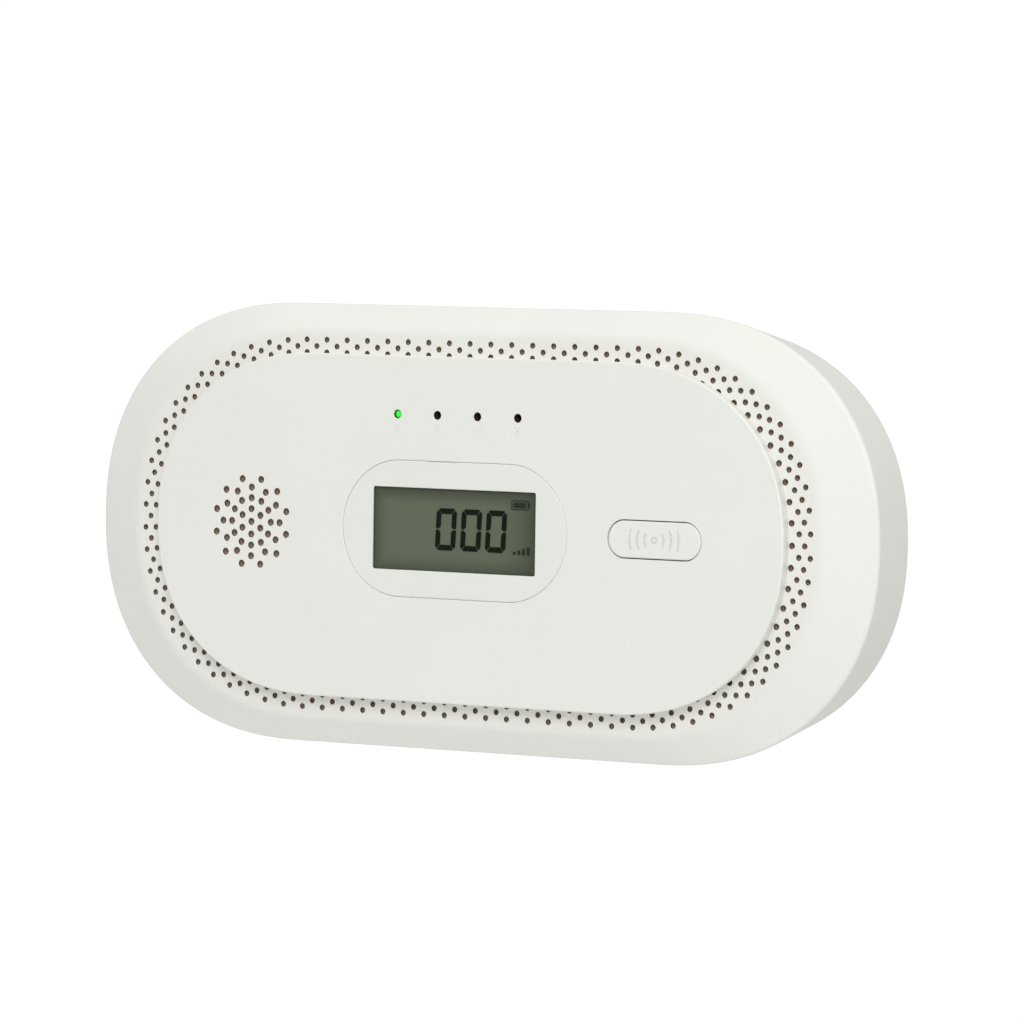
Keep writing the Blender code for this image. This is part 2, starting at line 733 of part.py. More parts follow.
def cut_keyholes(housing):
    """A narrow slot above a wide opening for each lug, as deep as the wall."""
    depth = (REAR_WALL_INNER - 0.5 * MM, OVERALL_DEPTH)
    slot_half = LUG_NECK_RADIUS + GAP
    for name, x in (("left", -LUG_X), ("right", LUG_X)):
        reach = 0.5 * LIFT_TRAVEL + slot_half
        middle = LUG_Z - 0.5 * LIFT_TRAVEL
        upright = [(x + b, middle + a) for a, b in stadium(reach, slot_half, segments=8)]
        cut(housing, plate(f"key_slot_{name}", [upright], *depth, CUTTERS))
        wide = [(x, LUG_Z - LIFT_TRAVEL)]
        cut(housing, rods(f"key_hole_{name}", wide, LUG_HEAD_RADIUS + GAP, depth, CUTTERS, 20))


def contact_tail_places():
    """(x, z) of the two solder tails that pass through the bay's floor."""
    return [(BAY_HALF[0] - GAP - 0.5 * CONTACT_THICK, side * CELL_Z) for side in (1, -1)]


def cut_contact_slots(housing):
    depth = (ON_BOARD_BACK - 1.0 * MM, BAY_FLOOR + 1.0 * MM)
    half = (0.5 * CONTACT_THICK + GAP, TAIL_HALF + GAP)
    for number, place in enumerate(contact_tail_places(), 1):
        cut(housing, plate(f"tail_slot_{number}", [rectangle(half, place)], *depth, CUTTERS))


def make_battery_door():
    door = door_prism("battery_door", GAP, PARTS)
    form = loft("rear_form", REAR_SECTIONS, CUTTERS)
    combine(door, form, "INTERSECT")
    grip_depth = (REAR_BACK_DEPTH - 0.5 * MM, OVERALL_DEPTH)
    groove_half = (7.0 * MM, 0.6 * MM)
    lowest_groove = -20.0 * MM
    groove_pitch = 2.5 * MM
    for i in range(3):
        groove = stadium(*groove_half, (0.0, lowest_groove + groove_pitch * i), 4)
        cut(door, plate(f"door_grip_{i + 1}", [groove], *grip_depth, CUTTERS))
    finish(door, "white_abs")


def make_cells():
    """Two AA cells, the upper with its plus end to the right and the lower the other way."""
    profile = [
        (0.0, CELL_LENGTH + NUB_LENGTH),
        (NUB_RADIUS, CELL_LENGTH + NUB_LENGTH),
        (NUB_RADIUS, CELL_LENGTH),
        (CELL_RADIUS - 0.5 * MM, CELL_LENGTH),
        (CELL_RADIUS, CELL_LENGTH - 0.5 * MM),
        (CELL_RADIUS, 0.4 * MM),
        (CELL_RADIUS - 0.4 * MM, 0.0),
        (0.0, 0.0),
    ]
    tip = BAY_HALF[0] - 2.0 * GAP - CONTACT_THICK
    start = tip - CELL_LENGTH - NUB_LENGTH
    for number, side, turn in ((1, 1, TO_RIGHT), (2, -1, TO_LEFT)):
        place = (side * start, y_at(CELL_DEPTH), side * CELL_Z)
        finish(turned(f"battery_{number}", profile, place, turn, PARTS), "sleeve")
        make_spring(number, side, side * start, side * CELL_Z)


def make_spring(number, side, cell_end, z):
    """Tapered wire spring between a contact plate and the minus end of a cell."""
    wire = 0.35 * MM
    turns = 3.5
    points_per_turn = 8
    plate_face = -side * (BAY_HALF[0] - GAP - CONTACT_THICK)
    first = plate_face + side * (GAP + wire)
    last = cell_end - side * (GAP + wire)
    curve = bpy.data.curves.new(f"battery_spring_{number}", "CURVE")
    curve.dimensions = "3D"
    curve.bevel_depth = wire
    curve.bevel_resolution = 1
    curve.use_fill_caps = True
    spline = curve.splines.new("POLY")
    count = int(turns * points_per_turn) + 1
    spline.points.add(count - 1)
    for i, point in enumerate(spline.points):
        t = i / (count - 1)
        angle = 2.0 * math.pi * turns * t
        radius = SPRING_WIDE_RADIUS + (SPRING_TIP_RADIUS - SPRING_WIDE_RADIUS) * t
        x = first + (last - first) * t
        point.co = (x, y_at(CELL_DEPTH) + radius * math.cos(angle), z + radius * math.sin(angle), 1.0)
    spring = as_mesh(add_object(curve.name, curve, PARTS), PARTS)
    finish(spring, "nickel")


def make_contacts():
    """A link plate joins the cells on the left. Two plates with solder tails stand on the right."""
    depth = (BAY_FLOOR + GAP, CONTACT_BACK)
    inner = BAY_HALF[0] - GAP - CONTACT_THICK
    outer = BAY_HALF[0] - GAP
    link = box("battery_link_plate", (-outer, -inner), depth, (-LINK_HALF, LINK_HALF), PARTS)
    finish(link, "nickel")
    for name, (x, z) in zip(("positive", "negative"), contact_tail_places()):
        contact_z = (z - CONTACT_HALF, z + CONTACT_HALF)
        contact = box(f"battery_contact_{name}", (inner, outer), depth, contact_z, PARTS)
        tail_depth = (ON_BOARD_BACK, BAY_FLOOR + 1.0 * MM)
        tail_z = (z - TAIL_HALF, z + TAIL_HALF)
        add(contact, box(f"{name}_tail", (inner, outer), tail_depth, tail_z, CUTTERS))
        finish(contact, "nickel")


def make_screws():
    """Cross-headed screws: four long ones close the case, two short ones hold the board."""
    long_profile = screw_profile(*CASE_SCREW_SIZE)
    for number, (x, z) in enumerate(case_screw_places(), 1):
        place = (x, y_at(COUNTERBORE_DEPTH + GAP), z)
        finish(screw(f"case_screw_{number}", long_profile, place), "steel")
    short_profile = screw_profile(*BOARD_SCREW_SIZE)
    for number, (x, z) in enumerate(board_screw_places(), 1):
        place = (x, y_at(ON_BOARD_BACK), z)
        finish(screw(f"board_screw_{number}", short_profile, place), "steel")


def screw_profile(head_radius, head_height, shank_length):
    return [
        (0.0, head_height),
        (0.7 * head_radius, head_height),
        (head_radius, 0.55 * head_height),
        (head_radius, 0.0),
        (SCREW_SHANK_RADIUS, 0.0),
        (SCREW_SHANK_RADIUS, -shank_length + 1.0 * MM),
        (0.4 * SCREW_SHANK_RADIUS, -shank_length),
        (0.0, -shank_length),
    ]


def screw(name, profile, place):
    made = turned(name, profile, place, TO_BACK, PARTS, 10)
    x, y, z = place
    head = profile[0][1]
    depth = y + OVERALL_DEPTH
    arm = 1.4 * MM
    thin = 0.3 * MM
    recess = (depth + head - 0.8 * MM, depth + head + 1.0 * MM)
    for half_x, half_z in ((arm, thin), (thin, arm)):
        bar = box(f"{name}_recess", (x - half_x, x + half_x), recess, (z - half_z, z + half_z), CUTTERS)
        cut(made, bar)
    return made


# ---------------------------------------------------------------- wall bracket


def make_bracket():
    """Plate that is screwed to the wall through one level and one upright slot."""
    slot = stadium(*WALL_SLOT_HALF, segments=8)
    level = [(a - WALL_SLOT_X, b) for a, b in slot]
    upright = [(b + WALL_SLOT_X, a) for a, b in slot]
    outlines = [stadium(*BRACKET_HALF), level, upright]
    bracket = plate("wall_bracket", outlines, BRACKET_FRONT, OVERALL_DEPTH, PARTS)
    head_back = REAR_WALL_INNER - GAP
    root = OVERALL_DEPTH - BRACKET_FRONT - 0.5 * MM
    neck_length = BRACKET_FRONT - head_back
    profile = [
        (0.0, neck_length + LUG_HEAD_THICK),
        (LUG_HEAD_RADIUS - 0.4 * MM, neck_length + LUG_HEAD_THICK),
        (LUG_HEAD_RADIUS, neck_length + LUG_HEAD_THICK - 0.4 * MM),
        (LUG_HEAD_RADIUS, neck_length),
        (LUG_NECK_RADIUS, neck_length),
        (LUG_NECK_RADIUS, -root),
        (0.0, -root),
    ]
    for name, x in (("left", -LUG_X), ("right", LUG_X)):
        place = (x, y_at(BRACKET_FRONT), LUG_Z)
        add(bracket, turned(f"lug_{name}", profile, place, TO_FRONT, CUTTERS, 20))
    finish(bracket, "white_clip")


for old in list(bpy.data.objects):
    bpy.data.objects.remove(old, do_unlink=True)
PARTS = new_collection("carbon_monoxide_alarm")
CUTTERS = new_collection("cutters")

make_front_panel()
make_front_housing()
make_display()
make_leds()
make_sounder()
make_test_button()
make_switch()
make_board()
make_sensor()
make_board_parts()
make_rear_housing()
make_battery_door()
make_cells()
make_contacts()
make_screws()
make_bracket()
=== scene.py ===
"""Looks of the carbon monoxide alarm: fine shells, display, indicators and finishes.

Metres, +Z up, in the frame of the CAD: the alarm looks along -Y and the wall is the plane Y = 0.
A depth is a distance behind the face of the front panel. Outlines are (x, z) points.
"""
import math

import bmesh
import bpy
from mathutils import Matrix, Vector
from mathutils.kdtree import KDTree


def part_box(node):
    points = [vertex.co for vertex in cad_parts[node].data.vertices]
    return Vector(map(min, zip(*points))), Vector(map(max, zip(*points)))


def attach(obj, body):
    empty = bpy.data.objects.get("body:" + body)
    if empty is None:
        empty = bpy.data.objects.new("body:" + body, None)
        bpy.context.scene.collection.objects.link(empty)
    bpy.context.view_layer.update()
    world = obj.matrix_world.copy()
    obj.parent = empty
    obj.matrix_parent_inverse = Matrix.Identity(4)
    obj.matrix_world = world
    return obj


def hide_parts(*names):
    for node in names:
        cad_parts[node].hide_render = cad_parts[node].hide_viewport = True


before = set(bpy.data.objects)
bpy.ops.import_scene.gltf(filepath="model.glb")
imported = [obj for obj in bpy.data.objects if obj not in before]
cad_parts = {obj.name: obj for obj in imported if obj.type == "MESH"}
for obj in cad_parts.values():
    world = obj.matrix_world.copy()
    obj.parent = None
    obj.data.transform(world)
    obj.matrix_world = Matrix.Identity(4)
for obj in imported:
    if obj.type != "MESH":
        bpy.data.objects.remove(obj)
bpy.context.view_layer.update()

MM = 0.001
FORWARD = Vector((0.0, -1.0, 0.0))
BACKWARD = Vector((0.0, 1.0, 0.0))

# Mesh detail. Angles are in degrees
SEGMENTS = 48
CORNER_STEPS = 4
SHARP_ANGLE = 32.0
CAD_SHARP_ANGLE = 35.0
WELD_DISTANCE = 0.002 * MM
CUT_MARGIN = 1.0 * MM


def half_size(node):
    """Half length and half height of a CAD node."""
    low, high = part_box(node)
    return (high.x - low.x) / 2.0, (high.z - low.z) / 2.0


def middle(node):
    """(x, z) centre of a CAD node."""
    low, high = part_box(node)
    return (low.x + high.x) / 2.0, (low.z + high.z) / 2.0


FACE_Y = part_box("front_panel")[0].y


def depths(node):
    """Front and back depth of a CAD node."""
    low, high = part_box(node)
    return low.y - FACE_Y, high.y - FACE_Y


# Sizes: most repeat the CAD, a few only concern the looks
GAP = 0.3 * MM
WALL = 2.0 * MM
CAP_STRETCH = 3.6 * MM
CAP_POWER = 2.235
PANEL_CENTRE = middle("front_panel")
PANEL_HALF = half_size("front_panel")
PANEL_BACK = depths("front_panel")[1]
FLOOR_DEPTH, PARTING_DEPTH = depths("front_housing")
RIM_HALF = half_size("front_housing")
DECK_BACK = FLOOR_DEPTH + WALL
CREASE_HALF = (64.1 * MM, 30.9 * MM)
RIM_CORNER = (72.78 * MM, 35.08 * MM, 5.5 * MM)
COVER_END = (70.44 * MM, 32.6 * MM, PARTING_DEPTH)
SHADOW_SEAM = 0.035 * MM
DECK_SOFTNESS = 0.9 * MM
DECK_RING = 8.0 * MM
PANEL_DRAFT = (0.6 * MM, 0.25 * MM)
PANEL_EDGE = 0.28 * MM
BEZEL_EDGE = 0.22 * MM
VENT_CHAMFER = 0.07 * MM
HOLE_CHAMFER = 0.05 * MM

LCD_CENTRE = middle("lcd_glass")
GLASS_FRONT = 0.45 * MM
GLASS_BACK = depths("lcd_glass")[1]
GLASS_HALF = half_size("lcd_glass")
BEZEL_HALF = half_size("display_bezel")
WINDOW_HALF = (15.25 * MM, 6.5 * MM)
POCKET_DEPTH = 0.3 * MM

LED_COLOURS = {
    "power": (0.08, 0.55, 0.10),
    "fault": (0.045, 0.036, 0.02),
    "alarm": (0.045, 0.02, 0.018),
    "life": (0.02, 0.024, 0.045),
}
LED_HOLE_RADIUS = 0.70 * MM
ROSETTE_HOLE_RADIUS = 0.57 * MM
LED_RADIUS = 1.5 * MM
LABEL_DROP = 2.1 * MM
LABEL_STROKE = 0.13 * MM
SOUNDER = middle("buzzer_housing")
SOUND_OPENING_RADIUS = 8.0 * MM
KEY_CENTRE = middle("test_button")
KEY_HALF = (8.35 * MM, 2.85 * MM)
KEY_SEAM = 0.62 * GAP
KEY_EDGE = 0.3 * MM
KEY_FLANGE_HALF = (9.7 * MM, 4.2 * MM)
KEY_FLANGE_THICK = 0.8 * MM
KEY_STEM_RADIUS = 1.3 * MM
PICTOGRAM_DOT = 0.42 * MM
PICTOGRAM_RADII = (1.75 * MM, 3.1 * MM, 4.45 * MM)
PICTOGRAM_STROKE = 0.40 * MM
BOARD_BACK = depths("main_pcb")[1]

GUIDE_HALF = (65.04 * MM, 31.89 * MM)
VENT_STEPS = 86
VENT_END_X = 39.0 * MM
VENT_ROWS = (
    # distance inside the guide oval, first step, hole radius, only round the ends
    (2.66 * MM, 0.0, 0.47 * MM, False),
    (3.69 * MM, 0.5, 0.47 * MM, False),
    (4.68 * MM, 0.0, 0.47 * MM, False),
    (5.94 * MM, 0.5, 0.51 * MM, True),
)
REAR_SECTIONS = (
    # half length, half height, depth
    (69.2 * MM, 31.6 * MM, 18.8 * MM),
    (69.2 * MM, 31.6 * MM, 20.0 * MM),
    (66.6 * MM, 30.4 * MM, 24.0 * MM),
    (63.2 * MM, 28.4 * MM, 29.2 * MM),
    (61.0 * MM, 26.6 * MM, 30.7 * MM),
)
REAR_BACK = REAR_SECTIONS[-1][2]
BAY_FLOOR = 13.8 * MM
BAY_HALF = (29.6 * MM, 16.4 * MM)
BAY_WALL = 1.5 * MM
DOOR_SEAT = 28.5 * MM
DOOR_INNER_HALF = 31.8 * MM
DOOR_OUTER_HALF = 31.0 * MM
DOOR_TOP = 17.5 * MM
GROOVE_HALF = (7.0 * MM, 0.6 * MM)
GROOVE_HEIGHTS = (-20.0 * MM, -17.5 * MM, -15.0 * MM)
GROOVE_DEPTH = 0.5 * MM
SEAT_HALF = 33.2 * MM
SEAT_FRONT = 27.4 * MM
SEAT_HEIGHTS = (-27.6 * MM, 20.0 * MM)
PILLAR_RADIUS = 4.5 * MM
SCREW_HOLE_RADIUS = 1.6 * MM
COUNTERBORE_RADIUS = 3.1 * MM
COUNTERBORE_DEPTH = 24.0 * MM
BRACKET_FRONT = 31.0 * MM
BRACKET_BACK = depths("wall_bracket")[1]
BRACKET_HALF = half_size("wall_bracket")
LUG_X = 48.0 * MM
LUG_Z = 6.0 * MM
LUG_NECK_RADIUS = 1.8 * MM
LUG_HEAD_RADIUS = 3.8 * MM
LUG_HEAD_THICK = 1.2 * MM
LIFT_TRAVEL = 10.0 * MM
WALL_SLOT_X = 26.0 * MM
WALL_SLOT_HALF = (4.7 * MM, 2.25 * MM)
ROSETTE_RINGS = (
    # ring radius, number of holes, angle of the first hole in degrees
    (0.0, 1, 0.0),
    (2.02 * MM, 6, 90.0),
    (3.78 * MM, 12, 90.0),
    (5.48 * MM, 12, 90.0),
    (7.00 * MM, 12, 75.0),
)


def y_at(depth):
    return FACE_Y + depth


# ------------ mesh tools


def placed(name, data):
    """New object in the scene."""
    thing = bpy.data.objects.new(name, data)
    bpy.context.scene.collection.objects.link(thing)
    return thing


def new_piece(name, bm, sharp=SHARP_ANGLE):
    """Object from a finished bmesh, smooth except at sharp edges."""
    bmesh.ops.recalc_face_normals(bm, faces=bm.faces)
    mesh = bpy.data.meshes.new(name)
    bm.to_mesh(mesh)
    bm.free()
    mesh.shade_smooth()
    mesh.set_sharp_from_angle(angle=math.radians(sharp))
    return placed(name, mesh)


def stadium(half_length, half_height, centre=(0.0, 0.0), segments=SEGMENTS):
    """Oval with straight long sides and half-round ends."""
    straight = half_length - half_height
    points = []
    for side, start in ((1.0, 90.0), (-1.0, 270.0)):
        for i in range(segments + 1):
            angle = math.radians(start - 180.0 * i / segments)
            x = centre[0] + side * straight + half_height * math.cos(angle)
            points.append((x, centre[1] + half_height * math.sin(angle)))
    return points


def oval(half_length, half_height, centre=(0.0, 0.0), segments=SEGMENTS):
    """Outline of the body: straight long sides and ends of a superellipse."""
    cap = half_height + CAP_STRETCH
    power = 2.0 / CAP_POWER
    points = []
    for side, start in ((1.0, 90.0), (-1.0, 270.0)):
        for i in range(segments + 1):
            angle = math.radians(start - 180.0 * i / segments)
            along = side * max(0.0, side * math.cos(angle)) ** power
            up = math.copysign(abs(math.sin(angle)) ** power, math.sin(angle))
            x = centre[0] + side * (half_length - cap) + cap * along
            points.append((x, centre[1] + half_height * up))
    return points


def rectangle(half, centre=(0.0, 0.0), corner=0.0):
    """Rectangle with rounded corners."""
    (a, b), (x, z) = half, centre
    if corner <= 0.0:
        return [(x - a, z - b), (x + a, z - b), (x + a, z + b), (x - a, z + b)]
    points = []
    for quarter, (sx, sz) in enumerate(((1, 1), (-1, 1), (-1, -1), (1, -1))):
        for i in range(CORNER_STEPS + 1):
            angle = math.pi / 2.0 * (quarter + i / CORNER_STEPS)
            cx = x + sx * (a - corner)
            cz = z + sz * (b - corner)
            points.append((cx + corner * math.cos(angle), cz + corner * math.sin(angle)))
    return points


def circle(centre, radius, sides):
    angles = [2.0 * math.pi * i / sides for i in range(sides)]
    return [(centre[0] + radius * math.cos(a), centre[1] + radius * math.sin(a)) for a in angles]


def skin(bm, rings):
    """Side faces between rings of (x, depth, z) points, and a cap at each end."""
    loops = [[bm.verts.new((x, y_at(depth), z)) for x, depth, z in ring] for ring in rings]
    for front, back in zip(loops, loops[1:]):
        count = len(front)
        for i in range(count):
            j = (i + 1) % count
            bm.faces.new((front[i], front[j], back[j], back[i]))
    bm.faces.new(loops[0])
    bm.faces.new(loops[-1])


def at_depth(outline, depth):
    return [(x, depth, z) for x, z in outline]


def loft(name, sections, centre=(0.0, 0.0), segments=SEGMENTS, shape=stadium):
    """Closed skin through sections (half length, half height, depth)."""
    bm = bmesh.new()
    skin(bm, [at_depth(shape(a, b, centre, segments), depth) for a, b, depth in sections])
    return new_piece(name, bm)


def prism(name, outlines, front, back):
    """Straight blocks with the given outlines, as one object."""
    bm = bmesh.new()
    for outline in outlines:
        skin(bm, [at_depth(outline, front), at_depth(outline, back)])
    return new_piece(name, bm)


def flared_pins(name, places, radius, face, back, flare, sides=16):
    """Cutter for round holes whose mouth in the face is broken by a small chamfer."""
    bm = bmesh.new()
    steps = (
        (radius + flare, face - CUT_MARGIN),
        (radius + flare, face),
        (radius, face + flare),
        (radius, back),
    )
    for place in places:
        skin(bm, [at_depth(circle(place, r, sides), depth) for r, depth in steps])
    return new_piece(name, bm)


def edge_round(half, depth, radius, steps=5, inward=1.0):
    """Sections of a rounded front edge of an oval plate, from its face to its side."""
    sections = []
    for i in range(steps + 1):
        angle = math.pi / 2.0 * i / steps
        inset = inward * radius * (1.0 - math.sin(angle))
        drop = radius * (1.0 - math.cos(angle))
        sections.append((half[0] - inset, half[1] - inset, depth + drop))
    return sections


def bake(piece):
    """Applies the modifiers of a piece."""
    graph = bpy.context.evaluated_depsgraph_get()
    mesh = bpy.data.meshes.new_from_object(piece.evaluated_get(graph))
    piece.modifiers.clear()
    piece.data = mesh
    mesh.shade_smooth()
    mesh.set_sharp_from_angle(angle=math.radians(SHARP_ANGLE))


def carve(piece, tools, operation="DIFFERENCE"):
    """Booleans the tools into a piece and removes them."""
    for tool in tools:
        step = piece.modifiers.new(tool.name, "BOOLEAN")
        step.operation = operation
        step.solver = "EXACT"
        step.object = tool
    bpy.context.view_layer.update()
    bake(piece)
    for tool in tools:
        bpy.data.objects.remove(tool, do_unlink=True)


def even_shading(piece):
    """Keeps the flat faces flat next to small rounded edges."""
    weighted = piece.modifiers.new("Weighted normals", "WEIGHTED_NORMAL")
    weighted.keep_sharp = True
    weighted.weight = 80


def turned(name, profile, place, axis, steps=32, sharp=SHARP_ANGLE):
    """Turned solid. The (radius, height) profile runs along the axis from place."""
    bm = bmesh.new()
    frame_matrix = Matrix.Translation(place) @ axis.to_track_quat("Z", "Y").to_matrix().to_4x4()
    rings = []
    for radius, height in profile:
        if radius <= 0.0:
            rings.append([bm.verts.new(frame_matrix @ Vector((0.0, 0.0, height)))])
            continue
        ring = []
        for i in range(steps):
            angle = 2.0 * math.pi * i / steps
            point = Vector((radius * math.cos(angle), radius * math.sin(angle), height))
            ring.append(bm.verts.new(frame_matrix @ point))
        rings.append(ring)
    for first, second in zip(rings, rings[1:]):
        for i in range(steps):
            j = (i + 1) % steps
            if len(first) == 1:
                bm.faces.new((first[0], second[i], second[j]))
            elif len(second) == 1:
                bm.faces.new((first[i], second[0], first[j]))
            else:
                bm.faces.new((first[i], second[i], second[j], first[j]))
    return new_piece(name, bm, sharp)


def ribbon(bm, points, width, front, back, closed):
    """Flat stroke of even width along (x, z) points, from one depth to another."""
    count = len(points)
    left, right = [], []
    for i, point in enumerate(points):
        before = points[i - 1] if closed or i > 0 else None
        after = points[(i + 1) % count] if closed or i < count - 1 else None
        runs = []
        for a, b in ((before, point), (point, after)):
            if a is not None and b is not None:
                runs.append((Vector(b) - Vector(a)).normalized())
        along = sum(runs, Vector((0.0, 0.0))).normalized()
        across = Vector((-along.y, along.x))
        reach = 0.5 * width / max(0.35, abs(across.dot(Vector((-runs[0].y, runs[0].x)))))
        left.append(Vector(point) + across * reach)
        right.append(Vector(point) - across * reach)
    corners = []
    for side in (left, right):
        for depth in (front, back):
            corners.append([bm.verts.new((p.x, y_at(depth), p.y)) for p in side])
    left_front, left_back, right_front, right_back = corners
    last = count if closed else count - 1
    for i in range(last):
        j = (i + 1) % count
        bm.faces.new((left_front[i], left_front[j], right_front[j], right_front[i]))
        bm.faces.new((left_back[i], right_back[i], right_back[j], left_back[j]))
        bm.faces.new((left_front[i], left_back[i], left_back[j], left_front[j]))
        bm.faces.new((right_front[i], right_front[j], right_back[j], right_back[i]))
    if not closed:
        for i in (0, count - 1):
            bm.faces.new((left_front[i], right_front[i], right_back[i], left_back[i]))


def strokes(name, lines, width, front, back, body):
    """One piece made of flat strokes. Each line is (points, closed)."""
    bm = bmesh.new()
    for points, closed in lines:
        ribbon(bm, points, width, front, back, closed)
    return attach(new_piece(name, bm), body)


def arc(centre, radius, start, end, steps):
    """Points of an arc between two angles in degrees."""
    points = []
    for i in range(steps + 1):
        angle = math.radians(start + (end - start) * i / steps)
        points.append((centre[0] + radius * math.cos(angle), centre[1] + radius * math.sin(angle)))
    return points


# ------------ materials


class Nodes:
    """Short way to write a node material."""

    def __init__(self, name):
        self.material = bpy.data.materials.new(name)
        self.material.use_nodes = True
        self.tree = self.material.node_tree
        self.shader = self.tree.nodes["Principled BSDF"]
        self.coordinates = self.add("ShaderNodeTexCoord").outputs["Object"]

    def add(self, kind, **settings):
        """New node. A setting is the value of an input, or else a property."""
        node = self.tree.nodes.new(kind)
        for key, value in settings.items():
            if key in node.inputs:
                node.inputs[key].default_value = value
            else:
                setattr(node, key, value)
        return node

    def join(self, source, target):
        self.tree.links.new(source, target)

    def separate(self):
        """Node with the X, Y and Z coordinates as outputs."""
        node = self.add("ShaderNodeSeparateXYZ")
        self.join(self.coordinates, node.inputs["Vector"])
        return node

    def noise(self, scale, detail=3.0, roughness=0.55):
        node = self.add("ShaderNodeTexNoise", Scale=scale, Detail=detail, Roughness=roughness)
        self.join(self.coordinates, node.inputs["Vector"])
        return node.outputs["Fac"]

    def span(self, value, low, high, start=0.35, end=0.65):
        """Maps a noise value onto a range."""
        limits = {"From Min": start, "From Max": end, "To Min": low, "To Max": high}
        node = self.add("ShaderNodeMapRange", **limits)
        self.join(value, node.inputs["Value"])
        return node.outputs["Result"]

    def mix(self, factor, first, second):
        node = self.add("ShaderNodeMix", data_type="RGBA")
        colours = [s for s in node.inputs if s.type == "RGBA"]
        self.join(factor, node.inputs[0])
        for socket, colour in zip(colours, (first, second)):
            if isinstance(colour, tuple):
                socket.default_value = (*colour, 1.0)
            else:
                self.join(colour, socket)
        return [s for s in node.outputs if s.type == "RGBA"][0]

    def math(self, operation, first, second=0.0):
        node = self.add("ShaderNodeMath", operation=operation)
        for socket, value in zip(node.inputs, (first, second)):
            if isinstance(value, float):
                socket.default_value = value
            else:
                self.join(value, socket)
        return node.outputs["Value"]

    def bump(self, height, strength, distance):
        node = self.add("ShaderNodeBump", Strength=strength, Distance=distance)
        self.join(height, node.inputs["Height"])
        self.join(node.outputs["Normal"], self.shader.inputs["Normal"])

    def colour(self, source):
        self.join(source, self.shader.inputs["Base Color"])

    def gloss(self, scale, detail, low, high):
        """Roughness that wanders between two values."""
        wander = self.span(self.noise(scale, detail), low, high)
        self.join(wander, self.shader.inputs["Roughness"])

    def set(self, **values):
        for key, value in values.items():
            name = key.replace("_", " ").title().replace("Ior", "IOR")
            self.shader.inputs[name].default_value = value


def shade(colour, factor):
    return tuple(channel * factor for channel in colour)


def moulded(name, colour, roughness, grain=0.06, variation=0.02, grain_scale=3200.0):
    """Moulded plastic: fine spark texture, faint cloudiness and slightly uneven gloss."""
    n = Nodes(name)
    cloud = n.span(n.noise(55.0, 2.0), 0.0, 1.0)
    tone = n.mix(cloud, shade(colour, 1.0 - variation), shade(colour, 1.0 + 0.5 * variation))
    speck = n.span(n.noise(2600.0, 2.0), 0.0, 1.0, 0.3, 0.7)
    n.colour(n.mix(speck, tone, shade(colour, 1.0 - 0.4 * variation)))
    n.gloss(900.0, 4.0, roughness - 0.05, roughness + 0.06)
    n.bump(n.noise(grain_scale, 3.0, 0.65), grain, 0.03 * MM)
    n.set(specular_ior_level=0.4)
    return n.material


def finish(piece, material):
    piece.data.materials.clear()
    piece.data.materials.append(material)
    return piece


def dress(node, material):
    """Gives a CAD node that stays a material."""
    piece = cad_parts[node]
    for material_slot in piece.material_slots:
        material_slot.material = material


def smooth_cad(node):
    """Welds and shades a CAD node with modifiers. Its mesh stays as it is."""
    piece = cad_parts[node]
    piece.data.shade_smooth()
    with bpy.context.temp_override(object=piece, active_object=piece):
        bpy.ops.mesh.customdata_custom_splitnormals_clear()
    weld = piece.modifiers.new("Weld", "WELD")
    weld.merge_threshold = WELD_DISTANCE
    split = piece.modifiers.new("Hard edges", "EDGE_SPLIT")
    split.split_angle = math.radians(CAD_SHARP_ANGLE)
    split.use_edge_sharp = False


# ------------ places that repeat


def guide_line():
    """Points of the guide oval, clockwise from the middle of its top, with the distance to each."""
    outline = oval(*GUIDE_HALF, segments=256)
    last = len(outline) // 2
    line = [(0.0, GUIDE_HALF[1])] + outline[:last] + [(0.0, -GUIDE_HALF[1])]
    line += [(-x, -z) for x, z in line[1:]]
    reached = [0.0]
    for first, second in zip(line, line[1:]):
        reached.append(reached[-1] + math.dist(first, second))
    return line, reached


def vent_places(inside, first_step, ends_only):
    """Every hole of one row, at even steps along the guide oval and a distance inside it."""
    line, reached = guide_line()
    places = []
    segment = 0
    for i in range(VENT_STEPS):
        along = reached[-1] * (i + first_step) / VENT_STEPS
        while reached[segment + 1] < along:
            segment += 1
        start = Vector(line[segment])
        run = (Vector(line[segment + 1]) - start).normalized()
        point = start + run * (along - reached[segment]) + Vector((run.y, -run.x)) * inside
        if not ends_only or abs(point.x) > VENT_END_X:
            places.append((point.x, point.y))
    return places


def rosette_places():
    places = []
    for radius, count, first in ROSETTE_RINGS:
        for i in range(count):
            angle = math.radians(first + 360.0 * i / count)
            x = SOUNDER[0] + radius * math.cos(angle)
            places.append((x, SOUNDER[1] + radius * math.sin(angle)))
    return places


def led_places():
    return [middle(f"led_{name}") for name in LED_COLOURS]


def case_screw_places():
    return [middle(f"case_screw_{i}") for i in (1, 2, 3, 4)]


# ------------ finishes

ABS = moulded("White_abs", (0.86, 0.862, 0.82), 0.5)
ABS_KEY = moulded("White_abs_key", (0.862, 0.865, 0.825), 0.46, grain=0.05)
ABS_BEZEL = moulded("White_abs_bezel", (0.845, 0.85, 0.815), 0.48, grain=0.05)
ABS_CLIP = moulded("White_clip", (0.80, 0.80, 0.765), 0.55, grain=0.12, grain_scale=1900.0)
ABS_REAR = moulded("White_abs_rear", (0.835, 0.835, 0.80), 0.58, grain=0.14, grain_scale=1900.0)


